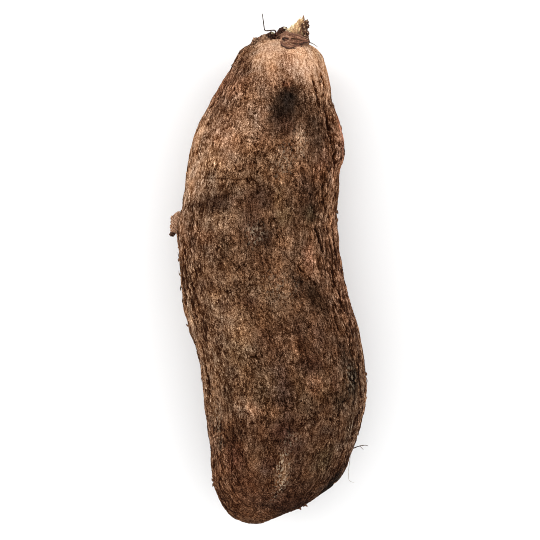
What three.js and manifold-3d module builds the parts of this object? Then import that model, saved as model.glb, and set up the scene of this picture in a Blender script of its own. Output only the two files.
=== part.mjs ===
// A yam, as picked: one long, slightly S-shaped tuber with corky skin, the dry stub of its vine at
// the crown, a wiry root beside the stub, and two fine rootlets near the root tip.
// Millimetres, +Z up. The yam lies on its belly on the plane z = 0 with the crown towards +Y.
// The origin is the middle of the whole yam's footprint, on that plane.

import * as THREE from "three";
import { mergeVertices } from "three/addons/utils/BufferGeometryUtils.js";
import Module from "manifold-3d";

const wasm = await Module();
wasm.setup();

// The tuber
const TUBER_LENGTH = 288; // root tip to crown, along Y
const TUBER_WIDTH = 102; // the widest section, along X
const TUBER_DEPTH = 86; // the thickest section, along Z
const TUBER_SWAY = 9; // how far the middle line swings to either side
const BELLY_FLAT = 1.5; // how much of the belly the ground has pressed flat
const TIP_ROUNDING = 40; // length of the rounded root end
const CROWN_ROUNDING = 9; // length of the rounded crown end

// The lobe on the right shoulder, a small second swelling of the same tuber
const LOBE_SHARE = 0.806; // its middle, as a share of the tuber's length from the root tip
const LOBE_LENGTH = 42;
const LOBE_THICKNESS = 13; // across X
const LOBE_DEPTH = 32; // across Z
const LOBE_SUNK = 2.2; // how far its middle lies inside the flank
const LOBE_TILT = 6; // degrees, its lower end leans outwards

// The finger on the left flank, where a side root began
const FINGER_SHARE = 0.617; // its place, as a share of the tuber's length from the root tip
const FINGER_LENGTH = 13;
const FINGER_WIDTH = 10;
const FINGER_THICKNESS = 7;
const FINGER_SUNK = 1.2; // how far its middle lies inside the flank
const FINGER_DROOP = 62; // degrees down from straight out, towards the root tip

// The two dark buds on the crown, in a row left of the vine stub
const BUD_COUNT = 2;
const BUD_SIZE = 7.5;
const BUD_SPACING = 9;
const BUD_RISE = 2; // the first bud's middle above the crown's pole
const BUD_DROP = 2.4; // each next bud's middle below the one before
const BUD_LEAN = 25; // degrees, away from the stub

// The vine stub
const STUB_WIDTH = 16.5;
const STUB_DEPTH = 17;
const STUB_HEIGHT = 14; // highest splinter above the middle of the crown
const STUB_OFFSET = 8.6; // its axis, right of the crown's middle
const STUB_RISE = 8; // its axis, above the crown's middle
const STUB_LEAN = 12; // degrees, its top leans up from the tuber's axis
const STUB_BURIED = 8; // how far its root would run into the crown
const STUB_BREAK = 40; // degrees, slope of the broken top
const STUB_SPLINTER = 5; // the highest splinter, right of the stub's axis

// The fine roots
const CROWN_ROOT_DIAMETER = 0.8;
const ROOTLET_DIAMETER = 0.6;

const GAP = 0.35; // clearance between the tuber and what grows on it

// Colours and roughness of the corky skin, the dry wood and the dry roots
const SKIN_COLOUR = 0x694d39;
const SKIN_ROUGHNESS = 0.9;
const STUB_COLOUR = 0xa08a63;
const STUB_ROUGHNESS = 0.85;
const ROOT_COLOUR = 0x6f5a47;
const ROOT_ROUGHNESS = 0.8;

// Fineness of the faceting
const TUBER_ROWS = 56;
const TUBER_SIDES = 36;
const ROW_CROWDING = 0.86; // 0 spaces the rows evenly, towards 1 crowds them at both ends
const SMALL_SIDES = 14;
const ROOT_SIDES = 6;
const STEPS_PER_POINT = 3; // of a root's path

// Each pair is a share of the tuber's length, from the root tip (0) to the crown (1), and a value.
const WIDTH_SHARES = [
  [0, 0.5],
  [0.02, 0.61],
  [0.05, 0.69],
  [0.09, 0.78],
  [0.14, 0.81],
  [0.2, 0.895],
  [0.27, 0.955],
  [0.35, 0.97],
  [0.41, 1],
  [0.48, 0.965],
  [0.56, 0.94],
  [0.64, 0.91],
  [0.71, 0.895],
  [0.775, 0.85],
  [0.825, 0.785],
  [0.873, 0.7],
  [0.905, 0.655],
  [0.955, 0.53],
  [1, 0.43],
];
const DEPTH_SHARES = [
  [0, 0.42],
  [0.08, 0.72],
  [0.18, 0.9],
  [0.3, 0.98],
  [0.4, 1],
  [0.52, 0.985],
  [0.66, 0.95],
  [0.78, 0.88],
  [0.88, 0.74],
  [0.95, 0.58],
  [1, 0.46],
];
// Sideways place of the middle line, as a share of TUBER_SWAY
const SWAY_SHARES = [
  [0, -1.05],
  [0.02, -1.05],
  [0.055, -0.3],
  [0.09, 0.25],
  [0.14, 0.6],
  [0.2, 0.84],
  [0.27, 0.93],
  [0.35, 0.69],
  [0.41, 0.17],
  [0.48, -0.42],
  [0.56, -0.76],
  [0.64, -0.76],
  [0.71, -0.56],
  [0.775, -0.42],
  [0.825, -0.22],
  [0.873, 0.04],
  [0.905, 0.33],
  [0.955, 0.52],
  [1, 0.62],
];
// Rise of the belly line above its flattest stretch, as a share of TUBER_DEPTH
const BELLY_SHARES = [
  [0, 0.19],
  [0.1, 0.07],
  [0.2, 0.015],
  [0.3, 0],
  [0.6, 0],
  [0.7, 0.012],
  [0.8, 0.05],
  [0.9, 0.12],
  [1, 0.21],
];

// Broad swellings and hollows of the skin: share of the length, degrees round the section from +X
// over the top, height in mm, and reach along the tuber and round it in mm.
const SWELLINGS = [
  { share: 0.93, round: 120, height: 2.2, along: 16, around: 18 },
  { share: 0.83, round: 62, height: -1.8, along: 20, around: 16 },
  { share: 0.7, round: 105, height: 1.5, along: 24, around: 22 },
  { share: 0.55, round: 55, height: -1.4, along: 26, around: 18 },
  { share: 0.36, round: 125, height: 1.6, along: 30, around: 20 },
  { share: 0.24, round: 70, height: 1.8, along: 22, around: 20 },
  { share: 0.1, round: 100, height: -1.5, along: 14, around: 20 },
  { share: 0.8, round: 225, height: 2, along: 22, around: 20 },
  { share: 0.62, round: 320, height: 1.8, along: 26, around: 16 },
  { share: 0.16, round: 235, height: -2, along: 20, around: 20 },
];

// A smooth function through the given pairs of place and value.
function curveThrough(pairs) {
  const places = Float64Array.from(pairs, ([place]) => place);
  const values = Float64Array.from(pairs, ([, value]) => value);
  const interpolant = new THREE.CubicInterpolant(places, values, 1);
  return (place) => interpolant.evaluate(place)[0];
}

const widthShare = curveThrough(WIDTH_SHARES);
const depthShare = curveThrough(DEPTH_SHARES);
const swayShare = curveThrough(SWAY_SHARES);
const bellyShare = curveThrough(BELLY_SHARES);

// How far a rounded end has opened out, from 0 at its pole to 1 past its reach.
function endRounding(distance, reach) {
  const left = Math.max(0, 1 - distance / reach);
  return Math.sqrt(Math.max(0, 1 - left * left));
}

// The middle of the section at a share of the length. The root tip is at y = 0.
function middleAt(share) {
  const belly = bellyShare(share) * TUBER_DEPTH - BELLY_FLAT;
  return new THREE.Vector3(
    swayShare(share) * TUBER_SWAY,
    share * TUBER_LENGTH,
    belly + (depthShare(share) * TUBER_DEPTH) / 2,
  );
}

// Half the width and half the depth of the section at a share of the length.
function halvesAt(share) {
  const fromTip = share * TUBER_LENGTH;
  const fromCrown = TUBER_LENGTH - fromTip;
  const opened = endRounding(fromTip, TIP_ROUNDING) * endRounding(fromCrown, CROWN_ROUNDING);
  return {
    across: (opened * widthShare(share) * TUBER_WIDTH) / 2,
    upright: (opened * depthShare(share) * TUBER_DEPTH) / 2,
  };
}

// Height of the swellings at a share of the length and an angle round the section.
function swellingAt(share, angle, halves) {
  let height = 0;
  for (const swelling of SWELLINGS) {
    const along = ((share - swelling.share) * TUBER_LENGTH) / swelling.along;
    const turn = angle - THREE.MathUtils.degToRad(swelling.round);
    const nearest = Math.atan2(Math.sin(turn), Math.cos(turn));
    const around = (nearest * (halves.across + halves.upright)) / 2 / swelling.around;
    height += swelling.height * Math.exp(-along * along - around * around);
  }
  return height;
}

// A point of the skin, moved out by a clearance. The angle runs from +X over the top.
function skinPoint(share, angle, clearance = 0) {
  const halves = halvesAt(share);
  const least = Math.min(halves.across, halves.upright);
  const fade = Math.min(1, (2 * least) / CROWN_ROUNDING);
  const raised = clearance + fade * swellingAt(share, angle, halves);
  const point = middleAt(share);
  point.x += (halves.across + raised) * Math.cos(angle);
  point.y += (2 * share - 1) * clearance;
  point.z += (halves.upright + raised) * Math.sin(angle);
  return point;
}

// Share of the length at a row: the rows crowd towards both ends, where the skin turns in.
function rowShare(row) {
  const even = row / TUBER_ROWS;
  return even - (ROW_CROWDING * Math.sin(2 * Math.PI * even)) / (2 * Math.PI);
}

// The tuber's closed skin: rings of points between a pole at the root tip and one at the crown.
function skinGeometry(clearance) {
  const points = [];
  const pole = (share) => middleAt(share).add(new THREE.Vector3(0, (2 * share - 1) * clearance, 0));
  points.push(pole(0));
  for (let row = 1; row < TUBER_ROWS; row++) {
    for (let side = 0; side < TUBER_SIDES; side++) {
      const angle = (side / TUBER_SIDES) * 2 * Math.PI;
      points.push(skinPoint(rowShare(row), angle, clearance));
    }
  }
  points.push(pole(1));
  const last = points.length - 1;
  const faces = [];
  const at = (row, side) => 1 + (row - 1) * TUBER_SIDES + (side % TUBER_SIDES);
  for (let side = 0; side < TUBER_SIDES; side++) {
    faces.push(0, at(1, side), at(1, side + 1));
    for (let row = 1; row < TUBER_ROWS - 1; row++) {
      faces.push(at(row, side), at(row + 1, side), at(row, side + 1));
      faces.push(at(row, side + 1), at(row + 1, side), at(row + 1, side + 1));
    }
    faces.push(last, at(TUBER_ROWS - 1, side + 1), at(TUBER_ROWS - 1, side));
  }
  return new THREE.BufferGeometry().setFromPoints(points).setIndex(faces);
}

// A closed geometry as a manifold solid.
function solidOf(geometry) {
  const bare = new THREE.BufferGeometry();
  bare.setAttribute("position", geometry.getAttribute("position"));
  bare.setIndex(geometry.getIndex());
  const merged = mergeVertices(bare, 1e-4);
  const corners = merged.getIndex().array;
  const faces = [];
  for (let i = 0; i < corners.length; i += 3) {
    const [a, b, c] = corners.slice(i, i + 3);
    if (a !== b && b !== c && c !== a) faces.push(a, b, c);
  }
  return new wasm.Manifold(
    new wasm.Mesh({
      numProp: 3,
      vertProperties: Float32Array.from(merged.getAttribute("position").array),
      triVerts: Uint32Array.from(faces),
    }),
  );
}

// A manifold solid as a named mesh with its own material.
function meshOf(name, solid, colour, roughness) {
  const { vertProperties, triVerts } = solid.getMesh();
  const geometry = new THREE.BufferGeometry();
  geometry.setAttribute("position", new THREE.BufferAttribute(vertProperties, 3));
  geometry.setIndex(new THREE.BufferAttribute(triVerts, 1));
  geometry.computeVertexNormals();
  const material = new THREE.MeshStandardMaterial({ color: colour, roughness, metalness: 0 });
  const mesh = new THREE.Mesh(geometry, material);
  mesh.name = name;
  return mesh;
}

// An egg-shaped solid of revolution about Y, thicker towards its lower end, then flattened.
// The size holds its thickness across X, its length along Y and its depth along Z.
function eggSolid(size, place, tilt, clearance) {
  const outline = new THREE.SplineCurve([
    new THREE.Vector2(0, -0.5),
    new THREE.Vector2(0.78, -0.42),
    new THREE.Vector2(1, -0.18),
    new THREE.Vector2(0.82, 0.15),
    new THREE.Vector2(0.45, 0.38),
    new THREE.Vector2(0, 0.5),
  ]);
  const profile = outline.getPoints(SMALL_SIDES);
  profile[0].x = 0;
  profile[SMALL_SIDES].x = 0;
  const geometry = new THREE.LatheGeometry(profile, SMALL_SIDES);
  const grown = size.clone().addScalar(2 * clearance);
  geometry.scale(grown.x / 2, grown.y, grown.z / 2);
  geometry.rotateZ(THREE.MathUtils.degToRad(tilt));
  geometry.translate(place.x, place.y, place.z);
  return solidOf(geometry);
}

// The lobe lies along the right flank, half sunk in it.
function lobeSolid(clearance) {
  const place = skinPoint(LOBE_SHARE, 0);
  place.x -= LOBE_SUNK;
  const size = new THREE.Vector3(LOBE_THICKNESS, LOBE_LENGTH, LOBE_DEPTH);
  return eggSolid(size, place, LOBE_TILT, clearance);
}

// The finger starts inside the left flank and points out and down towards the root tip.
function fingerSolid(clearance) {
  const place = skinPoint(FINGER_SHARE, Math.PI);
  place.x += FINGER_SUNK;
  const size = new THREE.Vector3(FINGER_WIDTH, FINGER_LENGTH, FINGER_THICKNESS);
  return eggSolid(size, place, FINGER_DROOP - 90, clearance);
}

// Where the vine grew out: the middle of the stub's base, on the crown.
function stubBase() {
  return middleAt(1).add(new THREE.Vector3(STUB_OFFSET, 0, STUB_RISE));
}

// The middle of a bud. The first one touches the stub's left side.
function budPlace(bud) {
  const place = stubBase();
  place.x -= STUB_WIDTH / 2 + bud * BUD_SPACING;
  place.y += BUD_RISE - bud * BUD_DROP;
  return place;
}

function budSolids(clearance) {
  const size = new THREE.Vector3(BUD_SIZE, BUD_SIZE, BUD_SIZE);
  const buds = [];
  for (let bud = 0; bud < BUD_COUNT; bud++) {
    buds.push(eggSolid(size, budPlace(bud), -BUD_LEAN, clearance));
  }
  return buds;
}

// The ground, a thick slab whose top is the plane z = 0.
function groundSolid() {
  const span = 2 * TUBER_LENGTH;
  const geometry = new THREE.BoxGeometry(span, span, TUBER_DEPTH);
  geometry.translate(0, TUBER_LENGTH / 2, -TUBER_DEPTH / 2);
  return solidOf(geometry);
}

// The woody stub tapers upwards and ends in a slanting break that leaves a splinter at the right.
function stubSolid() {
  const outline = [
    [0, -STUB_BURIED],
    [1, -STUB_BURIED],
    [1, 0],
    [0.93, STUB_HEIGHT * 0.2],
    [0.95, STUB_HEIGHT * 0.45],
    [0.84, STUB_HEIGHT * 0.8],
    [0.62, STUB_HEIGHT],
    [0, STUB_HEIGHT],
  ];
  const profile = outline.map(([out, up]) => new THREE.Vector2((out * STUB_WIDTH) / 2, up));
  const geometry = new THREE.LatheGeometry(profile, SMALL_SIDES);
  geometry.scale(1, 1, STUB_DEPTH / STUB_WIDTH);
  const cutter = new THREE.BoxGeometry(4 * STUB_WIDTH, 2 * STUB_HEIGHT, 4 * STUB_DEPTH);
  cutter.translate(-2 * STUB_WIDTH, STUB_HEIGHT, 0);
  cutter.rotateZ(THREE.MathUtils.degToRad(STUB_BREAK));
  cutter.translate(STUB_SPLINTER, STUB_HEIGHT, 0);
  const base = stubBase();
  return solidOf(geometry)
    .subtract(solidOf(cutter))
    .rotate([STUB_LEAN, 0, 0])
    .translate([base.x, base.y, base.z]);
}

// A thin root along a smooth curve through the given points.
function rootSolid(points, diameter) {
  const path = new THREE.CatmullRomCurve3(points);
  const radius = diameter / 2;
  const ring = new THREE.Shape();
  for (let side = 0; side < ROOT_SIDES; side++) {
    const angle = (side / ROOT_SIDES) * 2 * Math.PI;
    const corner = [radius * Math.cos(angle), radius * Math.sin(angle)];
    if (side === 0) ring.moveTo(...corner);
    else ring.lineTo(...corner);
  }
  const geometry = new THREE.ExtrudeGeometry(ring, {
    steps: STEPS_PER_POINT * points.length,
    extrudePath: path,
    bevelEnabled: false,
  });
  return solidOf(geometry);
}

// The wiry root leaves the outermost bud, runs left, and turns up at a kink.
const CROWN_ROOT_STEPS = [
  [2, -1, 0],
  [3.2, 3.6, 1],
  [2, 6.2, 1],
  [-3, 6, 0.5],
  [-4.2, 7.8, 0.5],
  [-4.9, 16.6, 1],
];

function crownRootSolid() {
  const start = budPlace(BUD_COUNT - 1);
  const points = CROWN_ROOT_STEPS.map((step) => start.clone().add(new THREE.Vector3(...step)));
  return rootSolid(points, CROWN_ROOT_DIAMETER);
}

// The rootlets on the right flank: share of the length where each leaves the skin, and its steps
// from there. Each starts inside the skin.
const ROOTLETS = [
  {
    share: 0.16,
    steps: [
      [-3, 0, 0],
      [0, 0, 0],
      [3, 0.8, 0.5],
      [6, 1.2, 1],
      [9, 1, 0.6],
    ],
  },
  {
    share: 0.143,
    steps: [
      [-3, 0, 0],
      [0, 0, 0],
      [0.8, -4, -1],
      [-0.6, -10, -2],
      [-0.8, -14, -2.5],
      [2.5, -16, -2],
    ],
  },
];

function rootletSolid({ share, steps }) {
  const start = skinPoint(share, 0);
  const points = steps.map((step) => start.clone().add(new THREE.Vector3(...step)));
  return rootSolid(points, ROOTLET_DIAMETER);
}

// The whole tuber with its outgrowths, all of them larger by a clearance.
function tuberSolid(clearance) {
  const outgrowths = [lobeSolid(clearance), fingerSolid(clearance), ...budSolids(clearance)];
  const skin = solidOf(skinGeometry(clearance));
  return outgrowths.reduce((whole, outgrowth) => whole.add(outgrowth), skin);
}

const tuber = tuberSolid(0).subtract(groundSolid());
const clearOfTuber = tuberSolid(GAP);


const pieces = new THREE.Group();
pieces.add(meshOf("tuber", tuber, SKIN_COLOUR, SKIN_ROUGHNESS));
const stub = stubSolid().subtract(clearOfTuber);
pieces.add(meshOf("vine_stub", stub, STUB_COLOUR, STUB_ROUGHNESS));
const crownRoot = crownRootSolid().subtract(clearOfTuber);
pieces.add(meshOf("crown_root", crownRoot, ROOT_COLOUR, ROOT_ROUGHNESS));
ROOTLETS.forEach((rootlet, index) => {
  const solid = rootletSolid(rootlet).subtract(clearOfTuber);
  pieces.add(meshOf(`tip_rootlet_${index + 1}`, solid, ROOT_COLOUR, ROOT_ROUGHNESS));
});

// The whole yam is placed so that the origin is the middle of its footprint.
const footprint = new THREE.Box3().setFromObject(pieces);
const centre = footprint.getCenter(new THREE.Vector3());
pieces.position.set(-centre.x, -centre.y, -footprint.min.z);

const yam = new THREE.Group();
yam.add(pieces);
export default yam;
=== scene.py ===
"""A whole yam lying on a pale floor, seen from straight above.

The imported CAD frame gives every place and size. The tuber's skin is sampled from the CAD solid on
an even grid, smoothed, and then given its lumps, flakes, fissures and grooves as real relief. The
vine stub, its splinters and scales, the buds and the roots are built as separate meshes.
Numpy work is in millimetres, and Blender objects are in metres.
"""

import math

import bpy
import numpy as np
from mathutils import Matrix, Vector
from mathutils.bvhtree import BVHTree


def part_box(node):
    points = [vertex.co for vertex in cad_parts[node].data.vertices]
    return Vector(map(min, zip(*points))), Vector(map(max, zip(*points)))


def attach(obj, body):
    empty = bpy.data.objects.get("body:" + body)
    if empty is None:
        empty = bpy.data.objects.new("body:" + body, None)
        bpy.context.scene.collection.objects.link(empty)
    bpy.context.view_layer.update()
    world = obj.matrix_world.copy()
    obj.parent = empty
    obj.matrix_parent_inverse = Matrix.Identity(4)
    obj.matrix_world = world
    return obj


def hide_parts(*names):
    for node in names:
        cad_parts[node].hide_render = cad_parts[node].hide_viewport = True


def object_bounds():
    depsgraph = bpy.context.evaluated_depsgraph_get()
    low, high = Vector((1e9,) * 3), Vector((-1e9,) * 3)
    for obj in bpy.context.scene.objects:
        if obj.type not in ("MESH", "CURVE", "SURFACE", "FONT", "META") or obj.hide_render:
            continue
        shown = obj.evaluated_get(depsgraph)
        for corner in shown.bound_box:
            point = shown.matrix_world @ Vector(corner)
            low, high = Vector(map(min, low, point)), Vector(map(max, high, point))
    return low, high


MM = 0.001  # metres in a millimetre
BODY = "root"

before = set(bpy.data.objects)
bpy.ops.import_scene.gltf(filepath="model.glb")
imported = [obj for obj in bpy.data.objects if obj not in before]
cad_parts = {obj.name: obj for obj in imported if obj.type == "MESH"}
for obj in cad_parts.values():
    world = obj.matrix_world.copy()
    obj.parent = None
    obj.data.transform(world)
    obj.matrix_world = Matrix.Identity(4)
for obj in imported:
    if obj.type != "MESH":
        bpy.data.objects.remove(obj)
cad_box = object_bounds()


def node_box(node):
    """Lowest and highest corner of a CAD node, in millimetres."""
    low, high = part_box(node)
    return np.array(low) / MM, np.array(high) / MM


# ---------------------------------------------------------------- noise

LATTICE = 64  # points to each side of the noise's lattice, which then repeats


def unit_lattice():
    """A unit vector, a place and a number at each point of a repeating lattice."""
    rng = np.random.default_rng(1)
    vectors = rng.normal(size=(LATTICE**3, 3)).astype(np.float32)
    vectors /= np.linalg.norm(vectors, axis=1, keepdims=True)
    places = rng.random((LATTICE**3, 3), dtype=np.float32)
    return vectors, places, rng.random(LATTICE**3, dtype=np.float32)


VECTORS, PLACES, NUMBERS = unit_lattice()
SEED_STEP = np.array([17.31, 29.77, 41.13])  # how far one seed's noise is from the next one's
NOISE_GAIN = 1.6  # brings gradient noise up to about -1 to 1


def gradient_noise(points, seed):
    """Smooth gradient noise with cells one unit wide, about -1 to 1, at an array of points."""
    flat = points.reshape(-1, 3) + seed * SEED_STEP
    cell = np.floor(flat).astype(np.int64)
    inside = (flat - cell).astype(np.float32)
    fade = inside**3 * (inside * (inside * 6 - 15) + 10)
    total = np.zeros(len(flat), np.float32)
    for corner in np.ndindex(2, 2, 2):
        place = (cell + corner) % LATTICE
        index = (place[:, 0] * LATTICE + place[:, 1]) * LATTICE + place[:, 2]
        towards = np.einsum("ij,ij->i", VECTORS[index], inside - np.float32(corner))
        share = np.where(np.array(corner) == 1, fade, 1 - fade).prod(axis=1)
        total += towards * share
    return (total * NOISE_GAIN).reshape(points.shape[:-1])


def layered_noise(points, seed, layers=3, gain=0.5):
    """Layers of gradient noise, each twice as fine as the one before and weaker by gain."""
    total, strength = 0.0, 1.0
    for layer in range(layers):
        total = total + strength * gradient_noise(points * 2**layer, seed + layer)
        strength *= gain
    return total


def cell_noise(points, seed):
    """Cells about one unit wide round scattered places: how far each point is from the border with
    the next cell (0 on the border), and a random number for its cell."""
    flat = points.reshape(-1, 3) + seed * SEED_STEP
    cell = np.floor(flat).astype(np.int64)
    inside = (flat - cell).astype(np.float32)
    nearest = np.full(len(flat), 9, np.float32)
    second = nearest.copy()
    number = nearest.copy()
    for step in np.ndindex(3, 3, 3):
        place = (cell + step - 1) % LATTICE
        index = (place[:, 0] * LATTICE + place[:, 1]) * LATTICE + place[:, 2]
        away = PLACES[index] + np.float32(step) - 1 - inside
        distance = np.sqrt((away * away).sum(axis=1))
        closer = distance < nearest
        second = np.where(closer, nearest, np.minimum(second, distance))
        number = np.where(closer, NUMBERS[index], number)
        nearest = np.minimum(nearest, distance)
    shape = points.shape[:-1]
    return (second - nearest).reshape(shape), number.reshape(shape)


def smooth_step(value, low, high):
    """0 below low, 1 above high, and a smooth rise between them."""
    share = np.clip((value - low) / (high - low), 0, 1)
    return share * share * (3 - 2 * share)


# ---------------------------------------------------------------- the tuber's grid

ROW_STEP = 0.52  # spacing of the grid's points, in millimetres
TIP_REACH = 36  # how far from the root tip the fan of rays starts
CROWN_REACH = 26  # and how far from the crown
ARC_STRETCH = 1.7  # length of the grid over an end, for each mm of its reach
GIRTH = 290  # mm round the tuber's middle, for the number of columns
AXIS_DEGREE = 7  # of the polynomial through the sections' middles
AXIS_STATIONS = 40  # sections that it is fitted to
AXIS_MARGINS = (4, 8)  # mm between the first and last of them and the tuber's ends
SECTION_REACH = 6  # mm to each side of a section that count as part of it
FACET_BLUR = 3.0  # smooths away the CAD solid's facets, in millimetres
BLUR_EXTENT = 2.5  # how far a blur reaches, as a multiple of its size


def tuber_axis():
    """Two functions of y, for the x and the z of the middle of the tuber's section, and the
    tuber's lowest and highest y."""
    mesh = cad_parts["tuber"].data
    points = np.array([v.co for v in mesh.vertices]) / MM
    low, high = node_box("tuber")
    stations = np.linspace(low[1] + AXIS_MARGINS[0], high[1] - AXIS_MARGINS[1], AXIS_STATIONS)
    middles = []
    for station in stations:
        near = points[abs(points[:, 1] - station) < SECTION_REACH]
        middles.append((near.min(axis=0) + near.max(axis=0)) / 2)
    middles = np.array(middles)
    fits = [np.polynomial.Polynomial.fit(stations, middles[:, k], AXIS_DEGREE) for k in (0, 2)]
    return fits[0], fits[1], low[1], high[1]


def blur_line(grid, reach, axis):
    """Gaussian blur of a padded grid along one axis, by shifting. Reach is in grid steps."""
    far = int(math.ceil(BLUR_EXTENT * reach))
    offsets = np.arange(-far, far + 1)
    weights = np.exp(-0.5 * (offsets / reach) ** 2)
    weights /= weights.sum()
    return sum(w * np.roll(grid, o, axis=axis) for o, w in zip(offsets, weights))


def blur_skin(grid, reach):
    """Blurs values on the tuber's grid, round the section and over both poles."""
    far = int(math.ceil(BLUR_EXTENT * reach)) + 1
    half_turn = grid.shape[1] // 2
    over_tip = np.roll(grid[1 : far + 1][::-1], half_turn, axis=1)
    over_crown = np.roll(grid[-far - 1 : -1][::-1], half_turn, axis=1)
    padded = np.concatenate([over_tip, grid, over_crown])
    padded = blur_line(blur_line(padded, reach, 0), reach, 1)
    return padded[far:-far]


def sample_tuber():
    """The CAD tuber's surface on a grid: rows from the root tip to the crown, columns round it.
    Each point is where a ray from the axis meets the surface. At both ends the rays fan out."""
    axis_x, axis_z, low, high = tuber_axis()
    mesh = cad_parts["tuber"].data
    corners = [v.co / MM for v in mesh.vertices]
    tree = BVHTree.FromPolygons(corners, [tuple(p.vertices) for p in mesh.polygons])
    first, last = low + TIP_REACH, high - CROWN_REACH
    tip_arc, crown_arc = TIP_REACH * ARC_STRETCH, CROWN_REACH * ARC_STRETCH
    body = last - first
    total = tip_arc + body + crown_arc
    rows = int(total / ROW_STEP) + 1
    columns = 2 * int(GIRTH / ROW_STEP / 2)
    grid = np.zeros((rows, columns, 3))
    turns = np.arange(columns) / columns * 2 * math.pi
    for row in range(rows):
        along = row / (rows - 1) * total
        y = min(max(along - tip_arc + first, first), last)
        lean = 0.0
        if along < tip_arc:
            lean = -(1 - along / tip_arc) * math.pi / 2
        elif along > tip_arc + body:
            lean = (along - tip_arc - body) / crown_arc * math.pi / 2
        origin = Vector((axis_x(y), y, axis_z(y)))
        outward, rise = math.cos(lean), math.sin(lean)
        for column, turn in enumerate(turns):
            ray = Vector((outward * math.cos(turn), rise, outward * math.sin(turn)))
            grid[row, column] = tree.ray_cast(origin, ray)[0]
    return blur_skin(grid, FACET_BLUR / ROW_STEP)


def normals_of(grid):
    """Unit normals of the tuber's grid, facing out."""
    around = np.roll(grid, -1, axis=1) - np.roll(grid, 1, axis=1)
    along = np.gradient(grid, axis=0)
    normals = np.cross(around, along)
    for pole, inner in ((0, 2), (-1, -3)):
        normals[pole] = normals[inner].mean(axis=0)
    lengths = np.linalg.norm(normals, axis=2, keepdims=True)
    normals = normals / np.maximum(lengths, 1e-9)
    middle = normals.shape[0] // 2
    outward = np.sign((normals[middle] * (grid[middle] - grid[middle].mean(axis=0))).sum())
    return normals * outward


# ---------------------------------------------------------------- the tuber's relief

AROUND_RADIUS = 46.0  # the straightened tuber's radius, for patterns that follow its length
END_DRAW = 0.3  # share of that radius left at the poles
END_TAPER = 28  # mm from a pole over which it shrinks
OUTLINE_BINS = 120  # slices that the outline is measured in
PATCH_RAGGED = 1.6  # how far the patches' edges wander, in mm
PATCH_RAGGED_SIZE = 6.0  # length of those wanderings
PATCH_STEEPNESS = 1.35  # how suddenly a patch ends; 1 is a plain Gaussian spot
PATCH_NARROWING = 0.8  # keeps such a patch about as big as the plain spot
GROOVE_RAGGED = 0.5  # how far the grooves wander, in mm
GROOVE_RAGGED_SIZE = 2.4


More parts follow.
